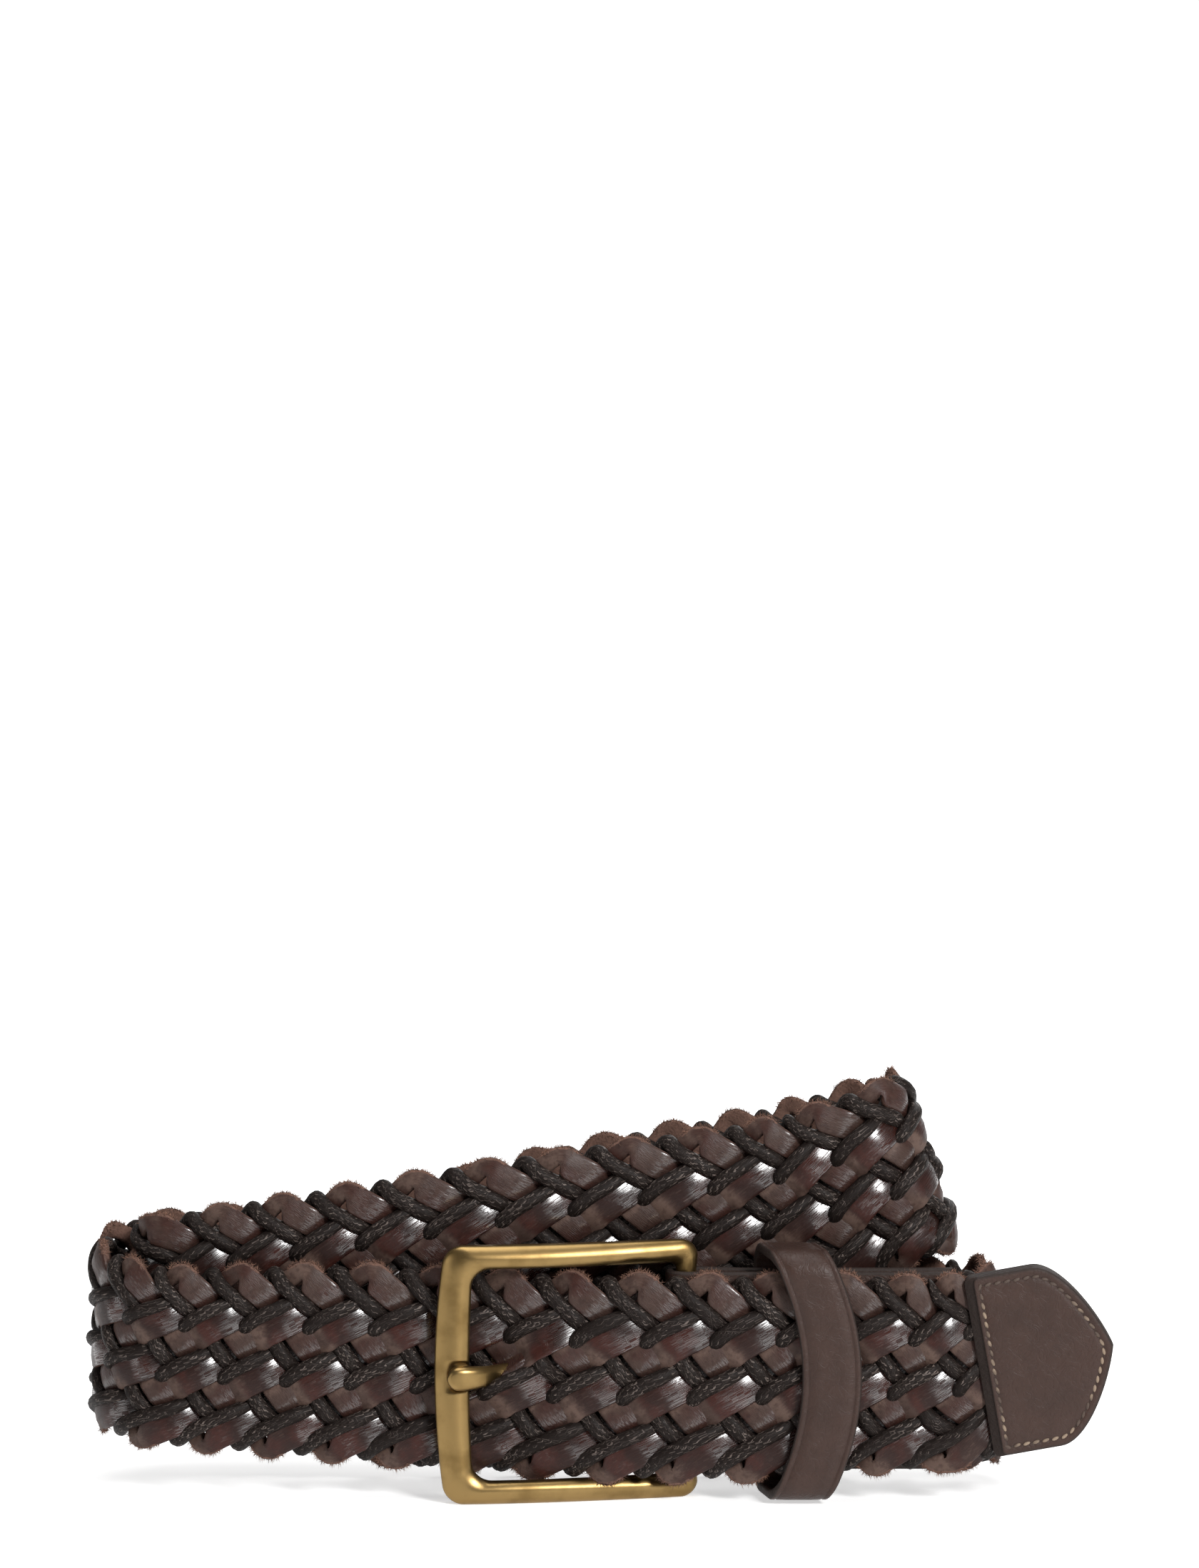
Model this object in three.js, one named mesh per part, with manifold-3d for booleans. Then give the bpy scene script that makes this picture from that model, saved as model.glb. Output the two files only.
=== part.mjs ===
// A braided leather belt, buckled, standing on its edge and coiled twice round into a flat bundle.
// Millimetres, +Z up. The front of the coil faces -Y, and the strap's tip points to +X.
// The pieces are built round the buckle's pivot bar at X = 0, and the belt is centred at the end.

import * as THREE from 'three';
import { mergeVertices } from 'three/addons/utils/BufferGeometryUtils.js';
import Module from 'manifold-3d';

const wasm = await Module();
wasm.setup();

// Driving dimensions

const clearance = 0.3;
const leather = 1.5;
const strap = { width: 35, thickness: 4.7, corner: 1.7, endThin: 0.8, endNarrow: 0.97 };
const tongue = { length: 9, thickness: 2, inset: 2.3, shoulder: 0.25 };
const coil = { layerGap: 2.3, loopDepth: 13, leftTurn: 87.6, innerInset: 0.8, upperTurn: 32.9 };
const riserEase = { from: 0.4 };
const lowerTurn = { reach: 7 };
const frame = { length: 44, bar: 4, leftBar: 5.1, depth: 4, bow: 1.8, innerBow: 0.9, edge: 1.2 };
const frameCorner = { outer: 3.2, inner: 3, pivotOuter: 3, pivotInner: 1.2 };
const frameFit = { slack: 1, endPast: 2.1, arch: 1.5 };
const pivot = { diameter: 3.4, setback: 9.2 };
const prong = { width: 4.2, thickness: 2.6, eyeWall: 1.2, tipInset: 2.2, notch: 0.6, slotSlack: 0.4 };
const prongHole = { near: 0.34, far: 0.685 };
const chape = { length: 46, inset: 0.3, slotSlack: 0.5, ease: 12 };
const keeper = { wall: 1.8, band: 10.2, slack: 2.5, corner: 3.4, seat: 16.9, skew: 3, bow: 5.1, edge: 0.6 };
const tab = { length: 26.3, inset: 1.7, wall: 1.1, straight: 0.5, shoulder: 0.72, nose: 5, corner: 1.2 };
const tip = { reach: 47.1, slope: 0.15, slopeLength: 8 };
const spacing = { run: 6.5, frontRun: 4.5 };

// Places worked out from them

const frameHeight = strap.width + 2 * (frame.bar + frameFit.slack);
const level = frameHeight / 2;
const half = strap.thickness / 2;
const foldInner = pivot.diameter / 2 + clearance;
const foldOuter = foldInner + leather;
const tipDepth = pivot.setback - foldOuter - clearance - half;
const leftDepth = frame.depth + clearance + half;
const pocket = tongue.thickness + 2 * clearance;
const chapeFront = pivot.setback - foldOuter;
const chapeBack = chapeFront + 2 * leather + pocket;
const chapeHeight = strap.width - 2 * chape.inset;
const lowerDepth = chapeFront + leather + pocket / 2;
const keeperFront = tipDepth - half - clearance - keeper.wall;
const keeperBack = chapeBack + clearance + keeper.wall;
const keeperHeight = strap.width + 2 * (keeper.slack + keeper.wall);
const tabHeight = strap.width - 2 * tab.inset;
const tabThickness = pocket + 2 * tab.wall;
const tongueWidth = tabHeight - 2 * tongue.inset;
const layer = strap.thickness + coil.layerGap;
const depths = {
  front: leftDepth,
  tip: tipDepth,
  riserLeft: leftDepth + layer,
  riserRight: keeperBack + 2 * clearance + half,
  lower: leftDepth + layer + coil.loopDepth,
  upper: leftDepth + 2 * layer + coil.loopDepth,
};
const frameLeft = frameFit.endPast - frame.length;
const barInner = frameLeft + frame.leftBar - frame.innerBow;
const outerTurnX = -coil.leftTurn;
const innerTurnX = -coil.leftTurn + coil.innerInset;
const lowerTurnX = chape.length + clearance;
const tipEnd = tip.reach - clearance;

// Small helpers

const smooth = (share) => THREE.MathUtils.smoothstep(share, 0, 1);

// Height, breadth or depth between the rows of a table, with no overshoot past a row.
function between(rows, column, along) {
  const last = rows.length - 1;
  let row = 0;
  while (row < last - 1 && along > rows[row + 1].along) row += 1;
  const secant = (k) => (rows[k + 1][column] - rows[k][column]) / (rows[k + 1].along - rows[k].along);
  const slope = (k) => {
    if (k === 0) return secant(0);
    if (k === last) return secant(last - 1);
    const before = secant(k - 1);
    const after = secant(k);
    return before * after <= 0 ? 0 : (2 * before * after) / (before + after);
  };
  const span = rows[row + 1].along - rows[row].along;
  const t = (along - rows[row].along) / span;
  const start = rows[row][column];
  const end = rows[row + 1][column];
  const lead = slope(row) * span * t * (1 - t) * (1 - t);
  const trail = slope(row + 1) * span * t * t * (t - 1);
  return start + (end - start) * t * t * (3 - 2 * t) + lead + trail;
}

// A rounded rectangle, as pairs across and up, with each corner cut in equal steps.
function roundedSection(across, up, corner, steps) {
  const points = [];
  const turns = [[1, 1], [-1, 1], [-1, -1], [1, -1]];
  turns.forEach(([signAcross, signUp], quarter) => {
    for (let step = 0; step <= steps; step += 1) {
      const angle = ((quarter + step / steps) * Math.PI) / 2;
      points.push([
        signAcross * (across / 2 - corner) + corner * Math.cos(angle),
        signUp * (up / 2 - corner) + corner * Math.sin(angle),
      ]);
    }
  });
  return points;
}

// A closed body through rings of points; an open run is closed with a face at each end.
function skin(rings, closed) {
  const size = rings[0].length;
  const faces = [];
  const spans = closed ? rings.length : rings.length - 1;
  for (let k = 0; k < spans; k += 1) {
    const here = k * size;
    const next = ((k + 1) % rings.length) * size;
    for (let i = 0; i < size; i += 1) {
      const j = (i + 1) % size;
      faces.push(here + i, next + j, here + j, here + i, next + i, next + j);
    }
  }
  if (!closed) {
    const end = (rings.length - 1) * size;
    for (let i = 1; i < size - 1; i += 1) {
      faces.push(0, i, i + 1);
      faces.push(end, end + i + 1, end + i);
    }
  }
  const points = rings.flat();
  let volume = 0;
  for (let f = 0; f < faces.length; f += 3) {
    const [a, b, c] = [points[faces[f]], points[faces[f + 1]], points[faces[f + 2]]];
    volume += a.dot(b.clone().cross(c));
  }
  if (volume < 0) faces.reverse();
  const geometry = new THREE.BufferGeometry();
  geometry.setAttribute('position', new THREE.Float32BufferAttribute(points.flatMap((p) => p.toArray()), 3));
  geometry.setIndex(faces);
  return geometry;
}

function toSolid(geometry) {
  const bare = geometry.clone();
  bare.deleteAttribute('normal');
  bare.deleteAttribute('uv');
  const merged = mergeVertices(bare, 1e-4);
  const vertProperties = new Float32Array(merged.attributes.position.array);
  const triVerts = new Uint32Array(merged.index.array);
  return new wasm.Manifold(new wasm.Mesh({ numProp: 3, vertProperties, triVerts }));
}

function toGeometry(solid) {
  const mesh = solid.getMesh();
  const geometry = new THREE.BufferGeometry();
  geometry.setAttribute('position', new THREE.Float32BufferAttribute(mesh.vertProperties, 3));
  geometry.setIndex(Array.from(mesh.triVerts));
  return geometry;
}

// A body of one outline in X and Y, standing on the height given.
function upright(shape, bottom, height, curveSegments = 6) {
  const geometry = new THREE.ExtrudeGeometry(shape, { depth: height, bevelEnabled: false, curveSegments });
  return geometry.translate(0, 0, bottom);
}

// A body of one outline in X and Z, from a front depth towards the back.
function facing(shape, front, depth, curveSegments = 6) {
  const geometry = new THREE.ExtrudeGeometry(shape, { depth, bevelEnabled: false, curveSegments });
  return geometry.rotateX(Math.PI / 2).translate(0, front + depth, 0);
}

function slotShape(left, right, middle, height) {
  const radius = height / 2;
  const shape = new THREE.Shape();
  shape.moveTo(left + radius, middle - radius);
  shape.lineTo(right - radius, middle - radius);
  shape.absarc(right - radius, middle, radius, -Math.PI / 2, Math.PI / 2, false);
  shape.lineTo(left + radius, middle + radius);
  shape.absarc(left + radius, middle, radius, Math.PI / 2, (3 * Math.PI) / 2, false);
  return shape;
}

// The strap's way through the coil, in the order from the chape to the tip.
// A row's level is a share of the buckle's middle height, and lift and breadth are shares of the
// strap's width. The lower run touches the ground behind the buckle, at its rows with level 0.

const lowerShare = (x) => (x - lowerTurnX) / (innerTurnX - lowerTurnX);
const lowerRows = [
  { along: 0, level: 1, lift: -0.03, breadth: 1 },
  { along: lowerShare(frameFit.endPast), level: 0, lift: 0.5, breadth: 1 },
  { along: lowerShare(frameLeft), level: 0, lift: 0.5, breadth: 1 },
  { along: 1, level: 1, lift: 0.14, breadth: 0.91 },
];
const riserRows = [
  { along: 0, level: 1, lift: 0.297, breadth: 0.92 },
  { along: 0.2, level: 1, lift: 0.4, breadth: 0.96 },
  { along: 0.46, level: 1, lift: 0.57, breadth: 0.97 },
  { along: 0.7, level: 1, lift: 0.665, breadth: 0.96 },
  { along: 0.88, level: 1, lift: 0.757, breadth: 0.95 },
  { along: 1, level: 1, lift: 0.897, breadth: 0.94 },
];
const upperRows = [
  { along: 0, level: 1, lift: 0.865, breadth: 0.94 },
  { along: 0.115, level: 1, lift: 0.74, breadth: 0.96 },
  { along: 0.4, level: 1, lift: 0.545, breadth: 0.98 },
  { along: 0.6, level: 1, lift: 0.38, breadth: 0.97 },
  { along: 0.75, level: 1, lift: 0.25, breadth: 0.96 },
  { along: 1, level: 1, lift: 0.212, breadth: 0.92 },
];
const frontRows = [
  { along: 0, level: 1, lift: 0.063, breadth: 0.92 },
  { along: 0.24, level: 1, lift: 0.03, breadth: 1 },
  { along: 0.36, level: 1, lift: 0, breadth: 1.01 },
  { along: 0.5, level: 1, lift: -0.01, breadth: 1.01 },
  { along: 0.68, level: 1, lift: -0.01, breadth: 1.01 },
  { along: 0.84, level: 1, lift: 0, breadth: 1 },
  { along: 1 - tip.slopeLength / (tipEnd - outerTurnX), level: 1, lift: 0, breadth: 0.98 },
  { along: 1, level: 1, lift: (tip.slope * tip.slopeLength) / strap.width, breadth: 0.96 },
];

const runs = {
  lower: {
    from: lowerTurnX,
    to: innerTurnX,
    near: depths.lower,
    far: depths.lower,
    ease: [lowerTurnX, innerTurnX],
    rows: lowerRows,
  },
  riser: {
    from: innerTurnX,
    to: coil.upperTurn,
    near: depths.riserLeft,
    far: depths.riserRight,
    ease: [innerTurnX * riserEase.from, -foldOuter],
    rows: riserRows,
  },
  upper: {
    from: coil.upperTurn,
    to: outerTurnX,
    near: depths.upper,
    far: depths.upper,
    ease: [coil.upperTurn, outerTurnX],
    rows: upperRows,
  },
  front: {
    from: outerTurnX,
    to: tipEnd,
    near: depths.front,
    far: depths.tip,
    ease: [barInner, -foldOuter],
    rows: frontRows,
  },
};

function onRun(run, x) {
  const along = (x - run.from) / (run.to - run.from);
  const share = smooth((x - run.ease[0]) / (run.ease[1] - run.ease[0]));
  return {
    x,
    y: run.near + (run.far - run.near) * share,
    z: between(run.rows, 'level', along) * level + between(run.rows, 'lift', along) * strap.width,
    breadth: between(run.rows, 'breadth', along),
  };
}

function leanAt(run, x) {
  const step = (run.to - run.from) * 1e-3;
  const inward = x === run.from ? step : -step;
  return Math.atan((onRun(run, x + inward).z - onRun(run, x).z) / inward);
}

function runStations(run, spacing) {
  const count = Math.ceil(Math.abs(run.to - run.from) / spacing);
  const stations = [];
  for (let k = 0; k <= count; k += 1) {
    const x = run.from + ((run.to - run.from) * k) / count;
    stations.push({ ...onRun(run, x), lean: 0 });
  }
  return stations;
}

// Half a turn from one run's end to the next one's start, with its own reach past them.
function turnStations(start, end, reach, startLean, endLean, steps) {
  const stations = [];
  const middle = (start.y + end.y) / 2;
  const radius = (end.y - start.y) / 2;
  for (let k = 1; k < steps; k += 1) {
    const share = k / steps;
    const angle = share * Math.PI;
    const lean = THREE.MathUtils.lerp(startLean, endLean, smooth(share));
    const out = reach * Math.sin(angle);
    stations.push({
      x: THREE.MathUtils.lerp(start.x, end.x, share) + out,
      y: middle - radius * Math.cos(angle),
      z: THREE.MathUtils.lerp(start.z, end.z, smooth(share)) + out * Math.tan(lean),
      breadth: THREE.MathUtils.lerp(start.breadth, end.breadth, smooth(share)),
      lean,
    });
  }
  return stations;
}

function strapStations() {
  const { lower, riser, upper, front } = runs;
  const first = { x: lowerTurnX, y: lowerDepth, z: level, breadth: 1, lean: 0 };
  const turn = (before, after, reach, steps) => {
    const start = onRun(before, before.to);
    const end = onRun(after, after.from);
    return turnStations(start, end, reach, leanAt(before, before.to), leanAt(after, after.from), steps);
  };
  const innerRadius = (depths.lower - depths.riserLeft) / 2;
  const upperRadius = (depths.upper - depths.riserRight) / 2;
  const outerRadius = (depths.upper - depths.front) / 2;
  return [
    first,
    ...turnStations(first, onRun(lower, lower.from), lowerTurn.reach, 0, leanAt(lower, lower.from), 12),
    ...runStations(lower, spacing.run),
    ...turn(lower, riser, -innerRadius, 10),
    ...runStations(riser, spacing.run),
    ...turn(riser, upper, upperRadius, 12),
    ...runStations(upper, spacing.run),
    ...turn(upper, front, -outerRadius, 14),
    ...runStations(front, spacing.frontRun),
  ];
}

// Directions at each station: forward along the strap, out through its grain side, and up across it.
function strapFrames() {
  const stations = strapStations();
  const places = stations.map((s) => new THREE.Vector3(s.x, s.y, s.z));
  return stations.map((station, k) => {
    const before = places[Math.max(k - 1, 0)];
    const after = places[Math.min(k + 1, places.length - 1)];
    const forward = after.clone().sub(before).normalize();
    if (k === 0) forward.set(1, 0, 0);
    const lean = new THREE.Vector3(-Math.sin(station.lean), 0, Math.cos(station.lean));
    const out = forward.clone().cross(lean).normalize();
    const up = out.clone().cross(forward);
    return { place: places[k], forward, out, up, breadth: station.breadth };
  });
}

function ringAt(at, shift, thickness, width, corner) {
  const place = at.place.clone().addScaledVector(at.forward, shift);
  return roundedSection(thickness, width, corner, 2).map(([across, up]) =>
    place.clone().addScaledVector(at.out, across).addScaledVector(at.up, up),
  );
}

function makeStrap() {
  const frames = strapFrames();
  const first = frames[0];
  const last = frames[frames.length - 1];
  const body = frames.map((at, k) => {
    const end = k === 0 || k === frames.length - 1;
    const thickness = strap.thickness * (end ? strap.endThin : 1);
    const width = strap.width * at.breadth * (end ? strap.endNarrow : 1);
    return ringAt(at, 0, thickness, width, strap.corner * (end ? strap.endThin : 1));
  });
  const tongueRing = (at, shift) => ringAt(at, shift, tongue.thickness, tongueWidth, tongue.thickness / 4);
  const rings = [
    tongueRing(first, -tongue.length),
    tongueRing(first, -tongue.shoulder),
    ...body,
    tongueRing(last, tongue.shoulder),
    tongueRing(last, tongue.length),
  ];
  const slot = slotShape(prongSlot.left, prongSlot.right, level, prong.width + 2 * prong.slotSlack);
  const cutter = facing(slot, depths.tip - strap.thickness, strap.thickness * 2.4);
  return toGeometry(toSolid(skin(rings, false)).subtract(toSolid(cutter)));
}

// The buckle's frame: two side bars that arch back from the left bar to the pivot bar.

function archDepth(x) {
  const share = THREE.MathUtils.clamp((x - barInner) / -barInner, 0, 1);
  const front = frame.depth / 2;
  return front + (pivot.setback - front) * share ** frameFit.arch;
}

// The frame's way round, each station with a point on its outer edge and one on its inner edge.
function frameStations() {
  const round = pivot.diameter / 2;
  const { outer, inner, pivotOuter, pivotInner } = frameCorner;
  const out = { left: frameLeft, right: frameFit.endPast, low: 0, high: frameHeight };
  const within = {
    left: frameLeft + frame.leftBar,
    right: -round,
    low: frame.bar,
    high: frameHeight - frame.bar,
  };
  const flat = { depth: frame.depth, edge: frame.edge };
  const rod = { depth: pivot.diameter, edge: pivot.diameter * 0.46 };
  const stations = [];
  const add = (outerPoint, innerPoint, size) => {
    stations.push({ outer: outerPoint, inner: innerPoint, ...size });
  };
  const mix = (from, to, share) => from.map((value, k) => THREE.MathUtils.lerp(value, to[k], share));
  const straight = (outerEnds, innerEnds, size, steps) => {
    for (let k = 0; k <= steps; k += 1) {
      add(mix(...outerEnds, k / steps), mix(...innerEnds, k / steps), size);
    }
  };
  const turn = (signX, signZ, quarter, radii, from, to) => {
    const corner = [signX < 0 ? 'left' : 'right', signZ < 0 ? 'low' : 'high'];
    for (let k = 1; k < 6; k += 1) {
      const angle = ((quarter + k / 6) * Math.PI) / 2;
      const [outerPoint, innerPoint] = [out, within].map((edge, n) => [
        edge[corner[0]] - signX * radii[n] + radii[n] * Math.cos(angle),
        edge[corner[1]] - signZ * radii[n] + radii[n] * Math.sin(angle),
      ]);
      const share = smooth(k / 6);
      const depth = THREE.MathUtils.lerp(from.depth, to.depth, share);
      add(outerPoint, innerPoint, { depth, edge: THREE.MathUtils.lerp(from.edge, to.edge, share) });
    }
  };
  const sideEnds = (z, edge, near, far) => [[edge.left + near, z], [edge.right - far, z]];
  const rodEnds = (x) => [[x, within.low + pivotOuter], [x, within.high - pivotOuter]];
  const leftEnds = (edge, radius) => [[edge.left, edge.high - radius], [edge.left, edge.low + radius]];
  const sides = (height) => [
    sideEnds(out[height], out, outer, pivotOuter),
    sideEnds(within[height], within, inner, pivotInner),
  ];
  straight(...sides('low'), flat, 8);
  turn(1, -1, 3, [pivotOuter, pivotInner], flat, rod);
  straight(rodEnds(round), rodEnds(-round), rod, 3);
  turn(1, 1, 0, [pivotOuter, pivotInner], rod, flat);
  straight(...sides('high').map((ends) => ends.reverse()), flat, 8);
  turn(-1, 1, 1, [outer, inner], flat, flat);
  straight(leftEnds(out, outer), leftEnds(within, inner), flat, 10);
  turn(-1, -1, 2, [outer, inner], flat, flat);
  return stations;
}

// How far a point of the frame is bowed to the left: nothing past the inner corners.
function bowAt([x, z], bow) {
  const share = (z - level) / level;
  const easeTo = frameLeft + frame.leftBar + frameCorner.inner;
  const leftShare = THREE.MathUtils.clamp((easeTo - x) / frameCorner.inner, 0, 1);
  return bow * Math.max(1 - share * share, 0) * leftShare;
}

function makeFrame() {
  const rings = frameStations().map(({ outer, inner, depth, edge }) => {
    const outerX = outer[0] - bowAt(outer, frame.bow);
    const innerX = inner[0] - bowAt(inner, frame.innerBow);
    const middleX = (outerX + innerX) / 2;
    const place = new THREE.Vector3(middleX, archDepth(middleX), (outer[1] + inner[1]) / 2);
    const across = new THREE.Vector3(outerX - innerX, 0, outer[1] - inner[1]);
    const bar = across.length();
    across.normalize();
    return roundedSection(bar, depth, edge, 2).map(([out, deep]) =>
      place.clone().addScaledVector(across, out).add(new THREE.Vector3(0, deep, 0)),
    );
  });
  const notchHeight = prong.width + 2 * clearance;
  const notch = slotShape(frameLeft - frame.leftBar, barInner + frame.leftBar, level, notchHeight);
  const cutter = facing(notch, -frame.depth, frame.depth + prong.notch);
  return toGeometry(toSolid(skin(rings, true)).subtract(toSolid(cutter)));
}

// The prong: an eye round the pivot bar, and a tongue of metal that comes through the strap
// from behind and lies in the left bar's notch.

const eyeInner = pivot.diameter / 2 + clearance;
const eyeOuter = eyeInner + prong.eyeWall;
const prongTip = frameLeft - frame.bow + prong.tipInset;
const prongFront = prong.notch - clearance - prong.thickness / 2;
const prongRows = [
  { along: 0, depth: 0, width: 1 },
  { along: 0.17, depth: 0.02, width: 1 },
  { along: 0.3, depth: 0.06, width: 1 },
  { along: 0.4, depth: 0.16, width: 1 },
  { along: 0.5, depth: 0.38, width: 1 },
  { along: 0.6, depth: 0.62, width: 1 },
  { along: 0.7, depth: 0.83, width: 0.98 },
  { along: 0.8, depth: 0.95, width: 0.94 },
  { along: 0.9, depth: 1, width: 0.9 },
  { along: 1, depth: 1, width: 0.4 },
];
const prongSlot = { left: prongTip * prongHole.far, right: prongTip * prongHole.near };

function makeProng() {
  const rootX = -eyeInner;
  const rootY = pivot.setback - 0.1 * prong.thickness;
  const rings = [];
  const count = 26;
  for (let k = 0; k <= count; k += 1) {
    const along = k / count;
    const x = rootX + (prongTip - rootX) * along;
    const y = rootY + (prongFront - rootY) * between(prongRows, 'depth', along);
    const share = between(prongRows, 'width', along);
    const thick = prong.thickness * Math.min(1, 0.25 + share * 0.78);
    const edge = thick * 0.34;
    const section = roundedSection(thick, prong.width * share, edge, 2);
    rings.push(section.map(([deep, up]) => new THREE.Vector3(x, y + deep, level + up)));
  }
  const eye = new THREE.Shape();
  eye.absarc(0, pivot.setback, eyeOuter, 0, 2 * Math.PI, false);
  const bore = new THREE.Path();
  bore.absarc(0, pivot.setback, eyeInner, 0, 2 * Math.PI, true);
  const whole = new THREE.Shape();
  whole.absarc(0, pivot.setback, eyeInner, 0, 2 * Math.PI, false);
  eye.holes.push(bore);
  const low = level - prong.width / 2;
  const ring = toSolid(upright(eye, low, prong.width, 18));
  const room = toSolid(upright(whole, low - 1, prong.width + 2, 18));
  return toGeometry(toSolid(skin(rings, false)).subtract(room).add(ring));
}

// The chape: one strip of leather folded round the pivot bar, its two legs holding the strap's end.

function makeChape() {
  const shape = new THREE.Shape();
  const front = chapeFront;
  const back = chapeBack;
  const foldBack = pivot.setback + foldOuter;
  shape.moveTo(chape.length, front + leather);
  shape.lineTo(chape.length, front);
  shape.lineTo(0, front);
  shape.absarc(0, pivot.setback, foldOuter, -Math.PI / 2, -1.5 * Math.PI, true);
  shape.bezierCurveTo(chape.ease / 2, foldBack, chape.ease / 2, back, chape.ease, back);
  shape.lineTo(chape.length, back);
  shape.lineTo(chape.length, back - leather);
  shape.lineTo(chape.ease, back - leather);
  const easeX = chape.ease / 2;
  shape.bezierCurveTo(easeX, back - leather, easeX, foldBack - leather, 0, foldBack - leather);
  shape.absarc(0, pivot.setback, foldInner, -1.5 * Math.PI, -Math.PI / 2, false);
  const body = upright(shape, level - chapeHeight / 2, chapeHeight, 10);
  const opening = prong.width + 2 * chape.slotSlack;
  const reach = foldOuter * 1.3;
  const slot = slotShape(-3 * foldOuter, reach, level, opening);
  const cutter = facing(slot, front - leather, 2 * (foldOuter + leather));
  return toGeometry(toSolid(body).subtract(toSolid(cutter)));
}

// The keeper: a leather band closed round the tip's run and the chape, pushed to a bow in front.

function makeKeeper() {
  const front = keeperFront + keeper.wall / 2;
  const back = keeperBack - keeper.wall / 2;
  const low = level - (keeperHeight - keeper.wall) / 2;
  const high = level + (keeperHeight - keeper.wall) / 2;
  const r = keeper.corner;
  const rings = [];
  const add = (y, z, outY, outZ) => {
    const forward = (back - y) / (back - front);
    const share = (z - level) / (high - level);
    const x = keeper.seat + keeper.skew * forward + keeper.bow * forward * (1 - share * share);
    const out = new THREE.Vector3(0, outY, outZ);
    const place = new THREE.Vector3(x, y, z);
    const section = roundedSection(keeper.band, keeper.wall, keeper.edge, 1);
    const across = new THREE.Vector3(1, 0, 0);
    rings.push(
      section.map(([wide, thick]) => place.clone().addScaledVector(across, wide).addScaledVector(out, thick)),
    );
  };
  const corner = (cy, cz, fromAngle) => {
    for (let k = 0; k <= 4; k += 1) {
      const angle = fromAngle + (k * Math.PI) / 8;
      add(cy + r * Math.cos(angle), cz + r * Math.sin(angle), Math.cos(angle), Math.sin(angle));
    }
  };
  const wall = (y, z0, z1, outY, steps) => {
    for (let k = 1; k < steps; k += 1) add(y, z0 + ((z1 - z0) * k) / steps, outY, 0);
  };
  corner(back - r, high - r, 0);
  corner(front + r, high - r, Math.PI / 2);
  wall(front, high - r, low + r, -1, 12);
  corner(front + r, low + r, Math.PI);
  corner(back - r, low + r, 1.5 * Math.PI);
  wall(back, low + r, high - r, 1, 3);
  return skin(rings, true);
}

// The tip tab: a leather end sewn over the strap's tongue, straight at first and then pointed.

function makeTab() {
  const edge = tabHeight / 2;
  const end = tab.length;
  const straight = end * tab.straight;
  const shoulder = end * tab.shoulder;
  const noseX = end - tab.nose / 4;
  const shape = new THREE.Shape();
  shape.moveTo(0, -edge + tab.corner);
  shape.quadraticCurveTo(0, -edge, tab.corner, -edge);
  shape.lineTo(straight, -edge);
  shape.bezierCurveTo(shoulder, -edge, noseX, -tab.nose, end, 0);
  shape.bezierCurveTo(noseX, tab.nose, shoulder, edge, straight, edge);
  shape.lineTo(tab.corner, edge);
  shape.quadraticCurveTo(0, edge, 0, edge - tab.corner);
  shape.closePath();
  const body = facing(shape, -tabThickness / 2, tabThickness, 8);
  const room = new THREE.BoxGeometry(2 * tongue.length, pocket, tongueWidth + 2 * clearance);
  return toGeometry(toSolid(body).subtract(toSolid(room)));
}

// Finishes and the assembly

function finish(color, roughness, metalness) {
  return new THREE.MeshStandardMaterial({ color, roughness, metalness });
}

const braid = finish('#3a2a23', 0.6, 0);
const leatherFinish = finish('#483a32', 0.5, 0);
const brass = finish('#a5884e', 0.32, 1);

const belt = new THREE.Group();

function place(name, geometry, material) {
  const mesh = new THREE.Mesh(geometry, material);
  mesh.name = name;
  belt.add(mesh);
  return mesh;
}

place('braided_strap', makeStrap(), braid);
place('buckle_frame', makeFrame(), brass);
place('buckle_prong', makeProng(), brass);
place('chape', makeChape(), leatherFinish);
place('keeper_loop', makeKeeper(), leatherFinish);

const tipFrame = strapFrames().at(-1);
const tipTab = place('tip_tab', makeTab(), leatherFinish);
tipTab.position.copy(tipFrame.place).addScaledVector(tipFrame.forward, tongue.shoulder + clearance);
tipTab.rotation.y = -Math.atan2(tipFrame.forward.z, tipFrame.forward.x);

const bounds = new THREE.Box3().setFromObject(belt, true);
const centre = bounds.getCenter(new THREE.Vector3());
belt.position.set(-centre.x, -centre.y, -bounds.min.z);

export default belt;
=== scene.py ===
"""A braided leather belt, buckled and coiled twice round, standing on its edge on a pale floor.

The strap is a braid of seven leather strips and seven elastic cords. Geometry Nodes lay every strand
along the strap's own guide line, and sew the stitches. Lengths in the size classes are millimetres.
"""

import logging
import math
from dataclasses import dataclass, field
from enum import Enum
from typing import Dict, List, Optional, Sequence, Tuple, Union

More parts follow.
